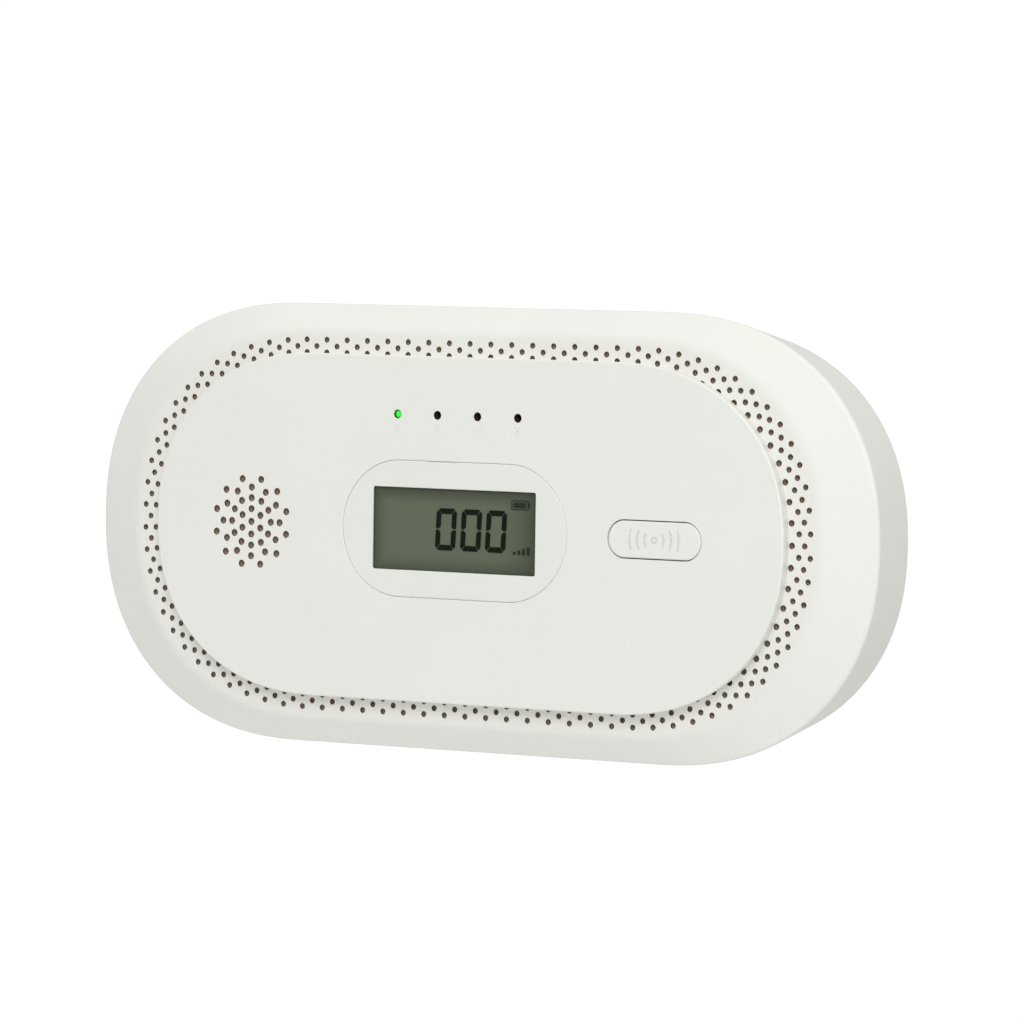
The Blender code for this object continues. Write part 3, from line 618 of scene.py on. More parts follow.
def hole_material(name, mouth, dark, light):
    """Walls of small holes: painted shadow just below the mouth, and paler further in."""
    n = Nodes(name)
    split = n.separate()
    start = y_at(mouth)
    inward = n.span(split.outputs["Y"], 0.0, 1.0, start + 0.15 * MM, start + 0.95 * MM)
    mottle = n.span(n.noise(2600.0, 3.0), 0.0, 1.0)
    tone = n.mix(mottle, shade(light, 0.85), shade(light, 1.1))
    # Painted shade: the dark colour near the mouth stands in for the shadow inside each hole
    n.colour(n.mix(inward, dark, tone))
    n.gloss(1500.0, 3.0, 0.75, 0.9)
    n.bump(n.noise(3200.0, 3.0), 0.15, 0.03 * MM)
    n.set(specular_ior_level=0.2)
    return n.material


# Painted shade for the walls of the vents, sound holes and indicator holes; the indicator holes are
# painted dark all through
PAINTED_HOLE_SHADE = (0.055, 0.038, 0.030)
HOLE_PALE = (0.82, 0.66, 0.52)
VENT_SHADOW = hole_material("Vent_shadow", FLOOR_DEPTH, PAINTED_HOLE_SHADE, HOLE_PALE)
ROSETTE_SHADOW = hole_material("Rosette_shadow", 0.0, PAINTED_HOLE_SHADE, HOLE_PALE)
LED_SHADOW = hole_material("Indicator_shadow", 0.0, shade(PAINTED_HOLE_SHADE, 0.7), shade(PAINTED_HOLE_SHADE, 1.3))


# ------------ front of the alarm


def curve_between(start, corner, end, steps):
    """Points of a soft corner, from start towards corner to end."""
    points = []
    for i in range(steps + 1):
        t = i / steps
        mixed = [
            (1.0 - t) ** 2 * a + 2.0 * t * (1.0 - t) * b + t * t * c
            for a, b, c in zip(start, corner, end)
        ]
        points.append(tuple(mixed))
    return points


def towards(start, end, share):
    return tuple(a + (b - a) * share for a, b in zip(start, end))


def grown(half, depth, amount):
    """Section of an oval made larger all round."""
    return half[0] + amount, half[1] + amount, depth


def shadow_holes(piece, material, holes, limits):
    """Gives the walls of round holes a material with painted shade. Each hole is (place, radius).
    """
    painted_shade_index = len(piece.data.materials)
    piece.data.materials.append(material)
    tree = KDTree(len(holes))
    for index, (place, _) in enumerate(holes):
        tree.insert((place[0], 0.0, place[1]), index)
    tree.balance()
    for face in piece.data.polygons:
        x, y, z = face.center
        if limits[0] < y - FACE_Y < limits[1]:
            _, index, distance = tree.find((x, 0.0, z))
            if distance < holes[index][1] + 0.03 * MM:
                face.material_index = painted_shade_index


def make_front_housing():
    crease = (*CREASE_HALF, FLOOR_DEPTH)
    floor = grown(CREASE_HALF, FLOOR_DEPTH, -DECK_SOFTNESS)
    sections = [grown(CREASE_HALF, FLOOR_DEPTH, -DECK_RING)]
    sections += curve_between(floor, crease, towards(crease, RIM_CORNER, 0.12), 5)
    bevel_end = towards(crease, RIM_CORNER, 0.92)
    sections += curve_between(bevel_end, RIM_CORNER, towards(RIM_CORNER, COVER_END, 0.055), 6)
    end = PARTING_DEPTH
    sections += [
        grown(COVER_END, end - 0.25 * MM, 0.045 * MM),
        grown(COVER_END, end - 0.08 * MM, -0.09 * MM),
        grown(COVER_END, end, -0.25 * MM),
        grown(COVER_END, end, -WALL),
        grown(RIM_CORNER, RIM_CORNER[2] + 1.3 * WALL, -1.2 * WALL),
        grown(CREASE_HALF, DECK_BACK, -0.4 * WALL),
    ]
    housing = loft("front_housing_shell", sections, shape=oval)
    behind = DECK_BACK + CUT_MARGIN
    above = FLOOR_DEPTH - CUT_MARGIN
    window = rectangle([half + 2.0 * GAP for half in GLASS_HALF], LCD_CENTRE)
    key = stadium(KEY_HALF[0] + GAP, KEY_HALF[1] + GAP, KEY_CENTRE, 16)
    openings = [window, key, circle(SOUNDER, SOUND_OPENING_RADIUS, 48)]
    openings += [circle(place, LED_RADIUS + 1.5 * GAP, 20) for place in led_places()]
    tools = [prism("openings", openings, above, behind)]
    holes = []
    for number, (inside, first, hole, ends_only) in enumerate(VENT_ROWS, 1):
        places = vent_places(inside, first, ends_only)
        holes += [(place, hole) for place in places]
        pins = flared_pins(f"vents_{number}", places, hole, FLOOR_DEPTH, behind, VENT_CHAMFER)
        tools.append(pins)
    carve(housing, tools)
    even_shading(housing)
    finish(housing, ABS)
    # Painted shade on the walls of the vents: dark just below their mouths
    shadow_holes(housing, VENT_SHADOW, holes, (FLOOR_DEPTH + 0.09 * MM, DECK_BACK + 0.05 * MM))
    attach(housing, "detector")
    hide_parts("front_housing")


def make_front_panel():
    foot = FLOOR_DEPTH - 0.04 * MM
    sections = edge_round(PANEL_HALF, 0.0, PANEL_EDGE)
    sections.append((PANEL_HALF[0] - PANEL_DRAFT[0], PANEL_HALF[1] - PANEL_DRAFT[1], foot))
    panel = loft("front_panel_plate", sections, PANEL_CENTRE, 64, shape=oval)
    above = -CUT_MARGIN
    behind = foot + CUT_MARGIN
    soft = 0.16 * MM
    bezel_half = [half + SHADOW_SEAM for half in BEZEL_HALF]
    key_half = [half + KEY_SEAM for half in KEY_HALF]
    tools = []
    for name, half, centre, depth in (
        ("bezel_opening", bezel_half, LCD_CENTRE, soft),
        ("key_opening", key_half, KEY_CENTRE, 0.5 * soft),
    ):
        mouth = edge_round(half, 0.0, depth, 4, inward=-1.0)
        sections = [(mouth[0][0], mouth[0][1], above), *mouth, (*half, behind)]
        tools.append(loft(name, sections, centre, 48))
    hole_groups = (
        ("led_holes", led_places(), LED_HOLE_RADIUS, 24, LED_SHADOW),
        ("sound_holes", rosette_places(), ROSETTE_HOLE_RADIUS, 20, ROSETTE_SHADOW),
    )
    for name, places, radius, sides, _ in hole_groups:
        tools.append(flared_pins(name, places, radius, 0.0, behind, HOLE_CHAMFER, sides))
    carve(panel, tools)
    even_shading(panel)
    finish(panel, ABS)
    # Painted shade on the walls of the indicator holes and sound holes
    wall = (0.1 * MM, foot + 0.01 * MM)
    for _, places, radius, _, material in hole_groups:
        shadow_holes(panel, material, [(place, radius) for place in places], wall)
    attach(panel, "detector")
    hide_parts("front_panel")


def make_bezel():
    sections = edge_round(BEZEL_HALF, 0.0, BEZEL_EDGE, 4)
    sections.append((*BEZEL_HALF, PANEL_BACK))
    bezel = loft("display_bezel_ring", sections, LCD_CENTRE, 48)
    corner = 0.35 * MM
    soft = 0.14 * MM
    bm = bmesh.new()
    rings = []
    steps = 4
    for i in range(steps + 1):
        angle = math.pi / 2.0 * i / steps
        grow = soft * (1.0 - math.sin(angle))
        outline = rectangle((WINDOW_HALF[0] + grow, WINDOW_HALF[1] + grow), LCD_CENTRE, corner)
        rings.append(at_depth(outline, soft * (1.0 - math.cos(angle))))
    lip = rectangle((WINDOW_HALF[0] + soft, WINDOW_HALF[1] + soft), LCD_CENTRE, corner)
    rings.insert(0, at_depth(lip, -CUT_MARGIN))
    behind = 3.0 * MM
    rings.append(at_depth(rectangle(WINDOW_HALF, LCD_CENTRE, corner), behind))
    skin(bm, rings)
    window = new_piece("window", bm)
    pocket_half = [half + GAP for half in GLASS_HALF]
    pocket = prism("pocket", [rectangle(pocket_half, LCD_CENTRE)], POCKET_DEPTH, behind)
    gate = (LCD_CENTRE[0] - 2.2 * MM, LCD_CENTRE[1] + BEZEL_HALF[1] + 0.02 * MM)
    gate_outline = rectangle((2.6 * MM, 0.16 * MM), gate, 0.08 * MM)
    notch = prism("gate_notch", [gate_outline], -CUT_MARGIN, 0.3 * MM)
    carve(bezel, [window, pocket, notch])
    even_shading(bezel)
    finish(bezel, ABS_BEZEL)
    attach(bezel, "detector")
    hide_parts("display_bezel")


# ------------ display


def lcd_material():
    """Reflective liquid crystal ground: grey green and fine grain, with painted shade towards its
    edges, right and top.
    """
    n = Nodes("Lcd_ground")
    split = n.separate()
    edges = None
    # Painted shade: the ground darkens towards the edges of the window
    for output, centre, half, fade in (
        ("X", LCD_CENTRE[0], WINDOW_HALF[0], 3.2 * MM),
        ("Z", LCD_CENTRE[1], WINDOW_HALF[1], 3.0 * MM),
    ):
        offset = n.math("ABSOLUTE", n.math("SUBTRACT", split.outputs[output], centre))
        limits = {"From Min": half - fade, "From Max": half + 0.6 * MM}
        near = n.add("ShaderNodeMapRange", interpolation_type="SMOOTHSTEP", **limits)
        n.join(offset, near.inputs["Value"])
        value = near.outputs["Result"]
        edges = value if edges is None else n.math("MAXIMUM", edges, value)
    speck = n.span(n.noise(7000.0, 2.0), 0.0, 1.0, 0.3, 0.7)
    ground = n.mix(speck, (0.119, 0.141, 0.096), (0.129, 0.152, 0.103))
    edge_shaded = n.mix(edges, ground, (0.080, 0.094, 0.065))
    # Painted shadow: the ground darkens further towards the right and the top of the window
    right = LCD_CENTRE[0] + WINDOW_HALF[0]
    top = LCD_CENTRE[1] + WINDOW_HALF[1]
    across = n.span(split.outputs["X"], 0.0, 0.5, right - 7.0 * MM, right)
    upward = n.span(split.outputs["Z"], 0.0, 0.34, top - 2.2 * MM, top)
    shaded = n.math("MAXIMUM", across, upward)
    n.colour(n.mix(shaded, edge_shaded, (0.034, 0.040, 0.028)))
    n.gloss(1500.0, 3.0, 0.30, 0.38)
    n.bump(n.noise(5200.0, 2.0), 0.03, 0.02 * MM)
    n.set(specular_ior_level=0.15)
    return n.material


def ink_material(name, colour, roughness=0.4):
    """Dark liquid crystal segment or print, with a little mottle."""
    n = Nodes(name)
    mottle = n.span(n.noise(4200.0, 3.0), 0.0, 1.0)
    n.colour(n.mix(mottle, shade(colour, 0.9), shade(colour, 1.12)))
    n.gloss(2500.0, 2.0, roughness - 0.05, roughness + 0.05)
    n.bump(n.noise(6000.0, 2.0), 0.04, 0.01 * MM)
    n.set(specular_ior_level=0.05)
    return n.material


SEGMENT_INK = ink_material("Segment_ink", (0.008, 0.012, 0.007))
FAINT_SEGMENT_INK = ink_material("Thin_segment_ink", (0.026, 0.034, 0.022))

# Marks of the display, in millimetres across and up from the middle of its text
DIGIT_PLACES = ((-2.25, 0.16), (2.47, 0.16), (7.12, 0.16))
BATTERY_CASE = (1.50, 0.68, 11.52, 4.44)  # half width, half height, across, up
BATTERY_BLOCKS = ((0.53, 0.40, 10.88, 4.42), (0.53, 0.40, 12.10, 4.42), (0.17, 0.26, 13.20, 4.44))


def digit_outlines(centre):
    """The six lit segments of a leaning zero."""
    half = 1.87 * MM
    top = 3.28 * MM
    bar = 0.84 * MM
    upper_left = [
        (-half, top - 0.62 * MM),
        (-half + 0.30 * MM, top - 0.30 * MM),
        (-half + bar, top - bar - 0.10 * MM),
        (-half + bar, 0.42 * MM),
        (-half + 0.45 * MM, 0.10 * MM),
        (-half + 0.12 * MM, 0.10 * MM),
        (-half, 0.30 * MM),
    ]
    across = [
        (-half + 0.42 * MM, top - 0.17 * MM),
        (-half + 0.62 * MM, top),
        (half - 0.62 * MM, top),
        (half - 0.42 * MM, top - 0.17 * MM),
        (half - bar - 0.06 * MM, top - bar),
        (-half + bar + 0.06 * MM, top - bar),
    ]
    lean = 0.048
    outlines = []
    for outline, sides, ends in ((upper_left, (1, -1), (1, -1)), (across, (1,), (1, -1))):
        for side in sides:
            for end in ends:
                points = [(side * x, end * z) for x, z in outline]
                outlines.append([(centre[0] + x + lean * z, centre[1] + z) for x, z in points])
    return outlines


def make_display():
    ground_depth = GLASS_FRONT + 0.12 * MM
    edge = 0.08 * MM
    bm = bmesh.new()
    rings = []
    for inset, depth in ((edge, ground_depth), (0.0, ground_depth + edge), (0.0, GLASS_BACK)):
        half = (GLASS_HALF[0] - inset, GLASS_HALF[1] - inset)
        rings.append(at_depth(rectangle(half, LCD_CENTRE, 0.3 * MM), depth))
    skin(bm, rings)
    ground = finish(new_piece("lcd_panel", bm), lcd_material())
    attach(ground, "detector")
    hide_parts("lcd_glass")

    ink = (GLASS_FRONT + 0.02 * MM, ground_depth + 0.01 * MM)
    x, z = LCD_CENTRE[0] + 0.55 * MM, LCD_CENTRE[1]
    outlines = []
    for across, up in DIGIT_PLACES:
        outlines += digit_outlines((x + across * MM, z + up * MM))
    digits = finish(prism("lcd_digits", outlines, *ink), SEGMENT_INK)
    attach(digits, "detector")

    case, *blocks = [
        rectangle((half_width * MM, half_height * MM), (x + across * MM, z + up * MM))
        for half_width, half_height, across, up in (BATTERY_CASE, *BATTERY_BLOCKS)
    ]
    battery = finish(prism("lcd_battery_level", blocks, *ink), FAINT_SEGMENT_INK)
    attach(battery, "detector")
    outline = strokes("lcd_battery_outline", [(case, True)], 0.10 * MM, *ink, "detector")
    finish(outline, FAINT_SEGMENT_INK)

    bars = []
    foot = z - 3.28 * MM
    for i in range(4):
        half_height = (0.22 + 0.13 * i) * MM
        across = (10.55 + 0.86 * i) * MM
        bars.append(rectangle((0.24 * MM, half_height), (x + across, foot + half_height)))
    level = finish(prism("lcd_level_bars", bars, *ink), FAINT_SEGMENT_INK)
    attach(level, "detector")


# ------------ key, indicators and print

PRINT_DEPTHS = (-0.004 * MM, 0.05 * MM)
PRINT_INK = ink_material("Grey_print", (0.70, 0.705, 0.695), 0.5)
LABEL_INK = ink_material("Pale_print", (0.775, 0.78, 0.755), 0.5)


def make_key():
    stem_end = depths("test_button")[1]
    flange_front = DECK_BACK + GAP
    flange_back = flange_front + KEY_FLANGE_THICK
    half = [side + 0.02 * MM for side in KEY_HALF]
    sections = edge_round(half, 0.0, KEY_EDGE, 6)
    sections.append((*half, flange_front))
    sections.append((*KEY_FLANGE_HALF, flange_front))
    sections.append((*KEY_FLANGE_HALF, flange_back))
    key = loft("test_key", sections, KEY_CENTRE, 40)
    place = Vector((KEY_CENTRE[0], y_at(flange_back - 0.3 * MM), KEY_CENTRE[1]))
    reach = y_at(stem_end) - place.y
    radius = KEY_STEM_RADIUS
    stem = [(0.0, 0.0), (radius, 0.0), (radius, reach - 0.2 * MM), (0.9 * radius, reach)]
    carve(key, [turned("stem", [*stem, (0.0, reach)], place, BACKWARD)], "UNION")
    even_shading(key)
    finish(key, ABS_KEY)
    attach(key, "button")
    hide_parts("test_button")

    lines = [(circle(KEY_CENTRE, PICTOGRAM_DOT, 20), True)]
    for radius in PICTOGRAM_RADII:
        spread = 46.0 - 5.5 * radius / MM
        for side in (0.0, 180.0):
            lines.append((arc(KEY_CENTRE, radius, side - spread, side + spread, 14), False))
    pictogram = strokes("test_pictogram", lines, PICTOGRAM_STROKE, *PRINT_DEPTHS, "button")
    finish(pictogram, PRINT_INK)


def led_lens_material(name, colour, strength):
    """Lit lens. The colour is a pair: its bright core, and its rim."""
    n = Nodes(name)
    centre = n.add("ShaderNodeVectorMath", operation="DISTANCE")
    n.join(n.coordinates, centre.inputs[0])
    x, z = middle("led_power")
    centre.inputs[1].default_value = (x, y_at(0.15 * MM), z)
    fade = n.span(centre.outputs["Value"], 0.0, 1.0, 0.25 * MM, 0.72 * MM)
    glow = n.mix(fade, colour[0], colour[1])
    n.colour(glow)
    n.join(glow, n.shader.inputs["Emission Color"])
    n.gloss(3000.0, 3.0, 0.15, 0.3)
    n.set(emission_strength=strength)
    return n.material


def make_indicators():
    x, z = led_places()[0]
    foot = 2.6 * MM
    place = Vector((x, y_at(foot), z))
    radius = LED_HOLE_RADIUS - 0.02 * MM
    height = 2.45 * MM
    dome = 0.35 * MM
    steps = 6
    profile = [(0.0, 0.0), (radius, 0.0)]
    for i in range(steps + 1):
        angle = math.pi / 2.0 * i / steps
        profile.append((radius * math.cos(angle), height - dome * (1.0 - math.sin(angle))))
    lens = turned("led_power_lens", profile, place, FORWARD, 28, sharp=60.0)
    green = ((0.03, 0.85, 0.04), (0.008, 0.26, 0.012))
    finish(lens, led_lens_material("Led_green_lit", green, 0.5))
    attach(lens, "detector")
    make_labels()


def make_labels():
    """Small pale pictograms under the indicators: power, fault, alarm and end of life."""
    z = led_places()[0][1] - LABEL_DROP
    power, fault, alarm, life = [(place[0], z) for place in led_places()]
    lines = [(arc(power, 0.5 * MM, 125.0, 415.0, 18), False)]
    lines.append(([(power[0], power[1] + 0.62 * MM), (power[0], power[1] + 0.05 * MM)], False))
    turns = ((-1, -1), (1, -1), (0, 1))
    lines.append(([(fault[0] + 0.62 * MM * a, fault[1] + 0.55 * MM * b) for a, b in turns], True))
    lines.append(([(fault[0], fault[1] + 0.22 * MM), (fault[0], fault[1] - 0.28 * MM)], False))
    for radius in (0.42 * MM, 0.8 * MM):
        for side in (0.0, 180.0):
            lines.append((arc(alarm, radius, side - 42.0, side + 42.0, 8), False))
    lines.append((circle(alarm, 0.10 * MM, 10), True))
    turns = ((-1, 1), (1, 1), (-1, -1), (1, -1))
    lines.append(([(life[0] + 0.45 * MM * a, life[1] + 0.6 * MM * b) for a, b in turns], True))
    labels = strokes("indicator_pictograms", lines, LABEL_STROKE, *PRINT_DEPTHS, "detector")
    finish(labels, LABEL_INK)


# ------------ rear, bracket and what is inside


def coated(name, colour, roughness, metallic=0.0, grain=0.05, scale=2400.0, contrast=0.12):
    """Finish of an inner part: uneven tone and gloss, and a fine grain."""
    n = Nodes(name)
    cloud = n.span(n.noise(0.12 * scale, 3.0), 0.0, 1.0)
    tone = n.mix(cloud, shade(colour, 1.0 - contrast), shade(colour, 1.0 + 0.4 * contrast))
    n.colour(tone)
    n.gloss(0.5 * scale, 4.0, roughness - 0.06, roughness + 0.08)
    n.bump(n.noise(scale, 3.0), grain, 0.03 * MM)
    n.set(metallic=metallic)
    return n.material


def board_material():
    """Green solder mask over faint copper lines that run across the board."""
    n = Nodes("Solder_mask")
    split = n.separate()
    wander = n.math("MULTIPLY", n.noise(260.0, 1.0), 1.6 * MM)
    lane = n.math("ADD", split.outputs["Z"], wander)
    wave = n.math("SINE", n.math("MULTIPLY", lane, 2.0 * math.pi / (1.6 * MM)))
    track = n.span(wave, 0.0, 1.0, 0.35, 0.55)
    patch = n.span(n.noise(90.0, 1.0), 0.0, 1.0, 0.45, 0.5)
    shown = n.math("MULTIPLY", track, patch)
    n.colour(n.mix(shown, (0.012, 0.115, 0.045), (0.03, 0.20, 0.075)))
    n.gloss(1800.0, 3.0, 0.3, 0.42)
    n.bump(shown, 0.3, 0.03 * MM)
    return n.material


def battery_material(node, flip):
    """Printed sleeve: a copper coloured band at the plus end and dark blue film on the rest."""
    n = Nodes(f"Sleeve_{node}")
    low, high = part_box(node)
    split = n.separate()
    length = high.x - low.x
    plus_end, band = (high.x, high.x - 0.3 * length) if flip > 0 else (low.x, low.x + 0.3 * length)
    along = n.span(split.outputs["X"], 0.0, 1.0, band - flip * 0.1 * MM, band + flip * 0.1 * MM)
    scuff = n.span(n.noise(700.0, 4.0), 0.0, 1.0)
    film = n.mix(scuff, (0.012, 0.018, 0.045), (0.018, 0.028, 0.065))
    copper = n.mix(scuff, (0.55, 0.27, 0.12), (0.62, 0.32, 0.15))
    sleeve = n.mix(along, film, copper)
    rim = (plus_end - flip * 1.5 * MM, plus_end - flip * 1.3 * MM)
    can = n.span(split.outputs["X"], 0.0, 1.0, *rim)
    n.colour(n.mix(can, sleeve, (0.62, 0.60, 0.56)))
    n.gloss(500.0, 3.0, 0.25, 0.38)
    n.bump(n.noise(1500.0, 2.0), 0.04, 0.03 * MM)
    n.set(metallic=0.45)
    return n.material


def door_block(inset):
    """Dovetail block that fills the door's recess, smaller by the inset on three sides."""
    slope = (DOOR_INNER_HALF - DOOR_OUTER_HALF) / (REAR_BACK - DOOR_SEAT)
    bottom = -40.0 * MM
    rings = []
    for depth in (DOOR_SEAT + inset, BRACKET_BACK):
        half = DOOR_INNER_HALF - slope * (depth - DOOR_SEAT) - inset
        top = DOOR_TOP - inset
        outline = [(-half, bottom), (half, bottom), (half, top), (-half, top)]
        rings.append(at_depth(outline, depth))
    bm = bmesh.new()
    skin(bm, rings)
    return new_piece("door_block", bm)


def rear_form():
    """Sections of the rear housing's outside, from front to back, with a soft last edge."""
    sections = list(REAR_SECTIONS[:-1])
    before, last = REAR_SECTIONS[-2:]
    flat = grown(last, last[2], -0.8 * MM)
    sections += curve_between(towards(before, last, 0.55), last, flat, 5)
    sections.append(grown(last, last[2], -6.0 * MM))
    return sections


def make_rear_housing():
    wall_inner = REAR_BACK - WALL
    shell = rear_form()[::-1] + [grown(REAR_SECTIONS[0], REAR_SECTIONS[0][2], -WALL)]
    shell += [grown(section, section[2], -0.95 * WALL) for section in REAR_SECTIONS[1:3]]
    shell.append(grown(REAR_SECTIONS[3], wall_inner - 1.0 * MM, -WALL))
    shell.append(grown(REAR_SECTIONS[4], wall_inner, -WALL))
    housing = loft("rear_housing_shell", shell, shape=oval)
    root = 0.5 * MM
    tub_half = (BAY_HALF[0] + BAY_WALL, BAY_HALF[1] + BAY_WALL)
    from_board = BOARD_BACK + GAP
    low, high = SEAT_HEIGHTS
    seat = [(-SEAT_HALF, low), (SEAT_HALF, low), (SEAT_HALF, high), (-SEAT_HALF, high)]
    pillars = [circle(place, PILLAR_RADIUS, 32) for place in case_screw_places()]
    for name, outlines, front in (
        ("tub", [rectangle(tub_half)], from_board),
        ("seat", [seat], SEAT_FRONT),
        ("pillars", pillars, from_board),
    ):
        carve(housing, [prism(name, outlines, front, wall_inner + root)], "UNION")
    past = BRACKET_BACK
    tools = [prism("bay", [rectangle(BAY_HALF)], BAY_FLOOR, past), door_block(0.0)]
    shanks = [circle(place, SCREW_HOLE_RADIUS, 24) for place in case_screw_places()]
    tools.append(prism("shanks", shanks, from_board - CUT_MARGIN, past))
    soft = 0.15 * MM
    steps = (
        (COUNTERBORE_RADIUS, COUNTERBORE_DEPTH),
        (COUNTERBORE_RADIUS, REAR_BACK - soft),
        (COUNTERBORE_RADIUS + soft, REAR_BACK),
        (COUNTERBORE_RADIUS + soft, past),
    )
    bm = bmesh.new()
    for place in case_screw_places():
        skin(bm, [at_depth(circle(place, radius, 32), depth) for radius, depth in steps])
    tools.append(new_piece("head_bores", bm))
    slot_half = LUG_NECK_RADIUS + GAP
    reach = 0.5 * LIFT_TRAVEL + slot_half
    for x in (-LUG_X, LUG_X):
        centre_z = LUG_Z - 0.5 * LIFT_TRAVEL
        slot = [(x + b, centre_z + a) for a, b in stadium(reach, slot_half, segments=12)]
        wide = circle((x, LUG_Z - LIFT_TRAVEL), LUG_HEAD_RADIUS + GAP, 32)
        for name, outline in (("slot", slot), ("hole", wide)):
            tools.append(prism(name, [outline], wall_inner - 0.5 * MM, past))
    carve(housing, tools)
    even_shading(housing)
    finish(housing, ABS_REAR)
    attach(housing, "detector")
    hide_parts("rear_housing")


def make_battery_door():
    door = loft("battery_door_lid", rear_form(), shape=oval)
    carve(door, [door_block(GAP)], "INTERSECT")
    grooves = [stadium(*GROOVE_HALF, (0.0, z), 10) for z in GROOVE_HEIGHTS]
    carve(door, [prism("grip_grooves", grooves, REAR_BACK - GROOVE_DEPTH, BRACKET_BACK)])
    even_shading(door)
    finish(door, ABS_REAR)
    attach(door, "door")
    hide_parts("battery_door")


def make_bracket():
    front, back = BRACKET_FRONT, BRACKET_BACK
    soft = 0.35 * MM
    sections = edge_round(BRACKET_HALF, front, soft, 4)
    sections += [(a, b, back - (depth - front)) for a, b, depth in sections[::-1]]
    bracket = loft("wall_bracket_plate", sections, segments=64)
    slot = stadium(*WALL_SLOT_HALF, segments=14)
    slots = [[(a - WALL_SLOT_X, b) for a, b in slot], [(b + WALL_SLOT_X, a) for a, b in slot]]
    carve(bracket, [prism("wall_slots", slots, front - CUT_MARGIN, back + CUT_MARGIN)])
    head_back = REAR_BACK - WALL - GAP
    neck = front - head_back
    top = neck + LUG_HEAD_THICK
    profile = [
        (0.0, -0.5 * MM),
        (LUG_NECK_RADIUS, -0.5 * MM),
        (LUG_NECK_RADIUS, neck),
        (LUG_HEAD_RADIUS, neck),
        (LUG_HEAD_RADIUS, top - 0.4 * MM),
        (LUG_HEAD_RADIUS - 0.12 * MM, top - 0.12 * MM),
        (LUG_HEAD_RADIUS - 0.4 * MM, top),
        (0.0, top),
    ]
    for x in (-LUG_X, LUG_X):
        carve(bracket, [turned("lug", profile, Vector((x, y_at(front), LUG_Z)), FORWARD)], "UNION")
    even_shading(bracket)
    finish(bracket, ABS_CLIP)
    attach(bracket, "bracket")
    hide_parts("wall_bracket")


def dress_inside():
    nickel = coated("Nickel", (0.72, 0.70, 0.66), 0.28, 1.0)
    zinc = coated("Zinc_screw", (0.60, 0.60, 0.60), 0.32, 1.0, 0.1)
    black = coated("Black_plastic", (0.022, 0.022, 0.023), 0.5)
    winding = coated("Enamelled_winding", (0.45, 0.16, 0.06), 0.35, 0.6, 0.5, 3600.0, 0.3)
    choices = {
        "battery_contact_negative": nickel,
        "battery_contact_positive": nickel,
        "battery_link_plate": nickel,
        "battery_spring_1": nickel,
        "battery_spring_2": nickel,
        "co_sensor_can": nickel,
        "co_sensor_cap": black,
        "buzzer_housing": black,
        "mcu_chip": coated("Chip_epoxy", (0.03, 0.03, 0.031), 0.6, grain=0.2),
        "switch_plunger": black,
        "switch_body": coated("Switch_steel", (0.58, 0.58, 0.57), 0.3, 1.0),
        "piezo_disc": coated("Brass_disc", (0.72, 0.52, 0.22), 0.3, 1.0),
        "boost_inductor": winding,
        "capacitor": coated("Capacitor_sleeve", (0.018, 0.02, 0.028), 0.35),
        "lcd_holder": ABS_CLIP,
        "lcd_reflector": coated("Silver_film", (0.60, 0.63, 0.58), 0.35, 0.7),
        "zebra_strip_lower": coated("Zebra_rubber", (0.045, 0.045, 0.045), 0.75, grain=0.3),
        "main_pcb": board_material(),
        "battery_1": battery_material("battery_1", 1),
        "battery_2": battery_material("battery_2", -1),
    }
    for name, colour in LED_COLOURS.items():
        choices[f"led_{name}"] = coated(f"Led_{name}_epoxy", colour, 0.18, contrast=0.06)
    choices["zebra_strip_upper"] = choices["zebra_strip_lower"]
    for number in (1, 2, 3, 4):
        choices[f"case_screw_{number}"] = zinc
    for number in (1, 2):
        choices[f"board_screw_{number}"] = zinc
    for node, material in choices.items():
        dress(node, material)
        smooth_cad(node)


dress_inside()
make_rear_housing()
make_battery_door()
make_bracket()
make_front_housing()
make_front_panel()
make_bezel()
make_display()
make_key()
make_indicators()


# ------------ camera, light and floor


def direction(azimuth, elevation):
    """Unit vector: straight ahead of the alarm, turned to the right and raised."""
    return Vector((
        math.sin(azimuth) * math.cos(elevation),
        -math.cos(azimuth) * math.cos(elevation),
        math.sin(elevation),
    ))


def make_camera():
    camera = placed("Camera", bpy.data.cameras.new("Camera"))
    yaw = math.radians(33.10)
    pitch = math.radians(2.70)
    roll = math.radians(0.82)
    distance = 1045.6 * MM
    target = Vector((10.04 * MM, FACE_Y, 3.38 * MM))
    back = direction(yaw, pitch)
    right = Vector((math.cos(yaw), math.sin(yaw), 0.0))
    up = back.cross(right)
    right, up = (
        right * math.cos(roll) + up * math.sin(roll),
        up * math.cos(roll) - right * math.sin(roll),
    )
    place = target + back * distance
    rotation = Matrix((right, up, back)).transposed().to_4x4()
    camera.matrix_world = Matrix.Translation(place) @ rotation
    camera.data.lens = 236.46
    camera.data.sensor_width = 36.0
    camera.data.clip_start = 0.05
    camera.data.clip_end = 50.0
    bpy.context.scene.camera = camera


def area_light(name, place, size, power, colour):
    data = bpy.data.lights.new(name, "AREA")
    data.shape = "DISK"
    data.size = size
    data.energy = power
    data.color = colour
    light = placed(name, data)
    light.location = place
    light.rotation_mode = "QUATERNION"
    aim = Vector((0.0, -0.5 * RIM_HALF[0], 0.0))
    light.rotation_quaternion = (aim - Vector(place)).to_track_quat("-Z", "Y")


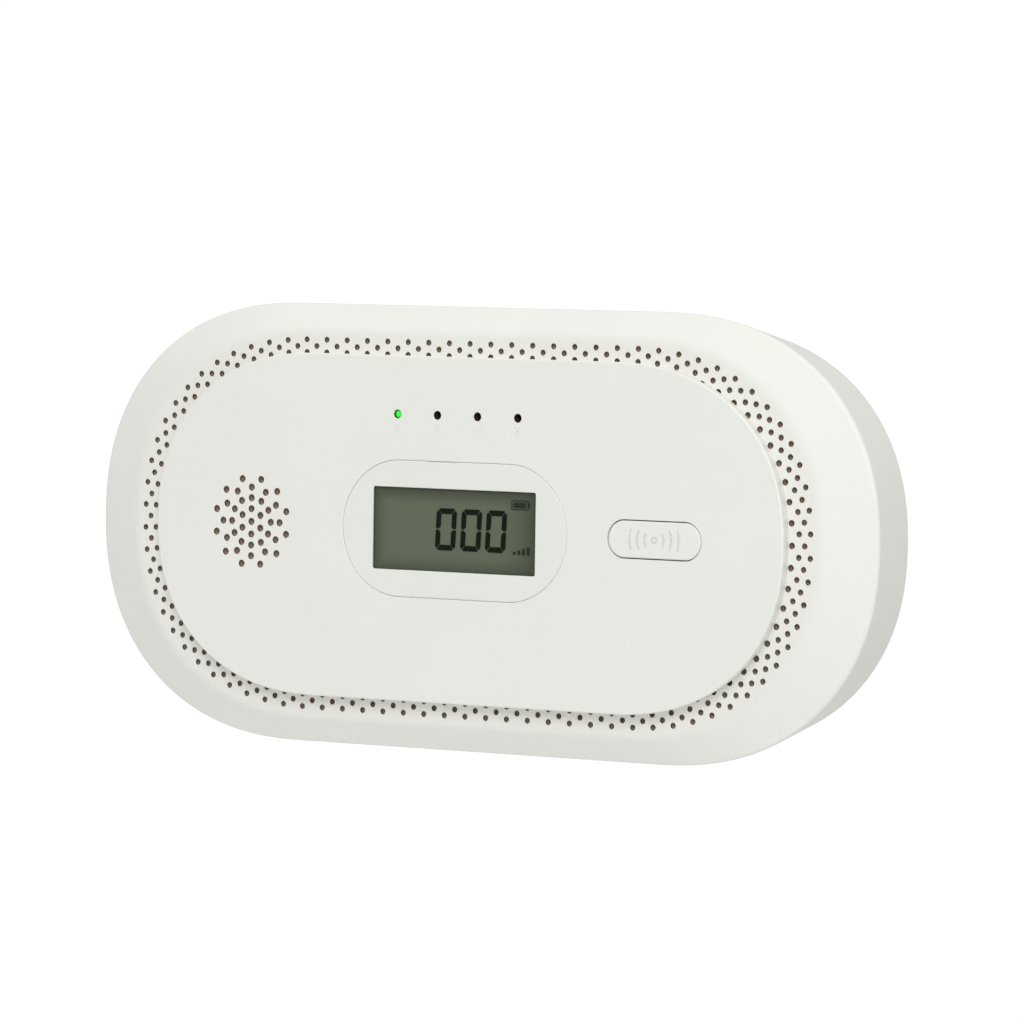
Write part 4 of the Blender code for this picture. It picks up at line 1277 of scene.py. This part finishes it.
LIGHTS = (
    # name, place and diameter in metres, power in watts, colour
    ("Key", direction(math.radians(31.0), math.radians(29.0)) * 1.6, 0.9, 10.5, (1.0, 1.0, 0.985)),
    ("Overhead", (0.0, -0.25, 1.5), 1.0, 3.3, (1.0, 0.985, 0.935)),
    ("Low_fill", (0.1, -0.1, -0.5), 0.5, 0.16, (1.0, 1.0, 1.0)),
    ("Side_fill", (1.5, -0.1, -0.1), 0.9, 1.0, (0.98, 1.0, 1.0)),
)
AMBIENT_STRENGTH = 0.577
BACKDROP_STRENGTH = 1.03
FLOOR_STRENGTH = 1.02
FLOOR_RADIUS = 6.0
FLOOR_HEIGHT = -0.6


def camera_sees(tree, seen, other, output):
    """Gives the camera's own rays one shader and all other rays another."""
    path = tree.nodes.new("ShaderNodeLightPath")
    either = tree.nodes.new("ShaderNodeMixShader")
    tree.links.new(path.outputs["Is Camera Ray"], either.inputs["Fac"])
    tree.links.new(other, either.inputs[1])
    tree.links.new(seen, either.inputs[2])
    tree.links.new(either.outputs["Shader"], output.inputs["Surface"])


def make_studio():
    scene = bpy.context.scene
    scene.view_settings.view_transform = "Standard"
    world = bpy.data.worlds.new("Studio")
    scene.world = world
    world.use_nodes = True
    tree = world.node_tree
    output = tree.nodes["World Output"]
    soft = tree.nodes["Background"]
    soft.inputs["Color"].default_value = (0.985, 1.0, 0.985, 1.0)
    soft.inputs["Strength"].default_value = AMBIENT_STRENGTH
    paper = tree.nodes.new("ShaderNodeBackground")
    paper.inputs["Color"].default_value = (1.0, 1.0, 1.0, 1.0)
    paper.inputs["Strength"].default_value = BACKDROP_STRENGTH
    camera_sees(tree, paper.outputs["Background"], soft.outputs["Background"], output)

    for light in LIGHTS:
        area_light(*light)

    bm = bmesh.new()
    bmesh.ops.create_circle(bm, cap_ends=True, segments=96, radius=FLOOR_RADIUS)
    mesh = bpy.data.meshes.new("Floor")
    bm.to_mesh(mesh)
    bm.free()
    floor = placed("Floor", mesh)
    floor.location = (0.0, 0.0, FLOOR_HEIGHT)
    n = Nodes("Floor_paper")
    n.set(base_color=(0.86, 0.86, 0.85, 1.0), roughness=0.9)
    glow = n.add("ShaderNodeEmission", Color=(1.0, 1.0, 1.0, 1.0), Strength=FLOOR_STRENGTH)
    output = n.tree.nodes["Material Output"]
    camera_sees(n.tree, glow.outputs["Emission"], n.shader.outputs["BSDF"], output)
    floor.data.materials.append(n.material)


make_camera()
make_studio()

bpy.context.view_layer.update()
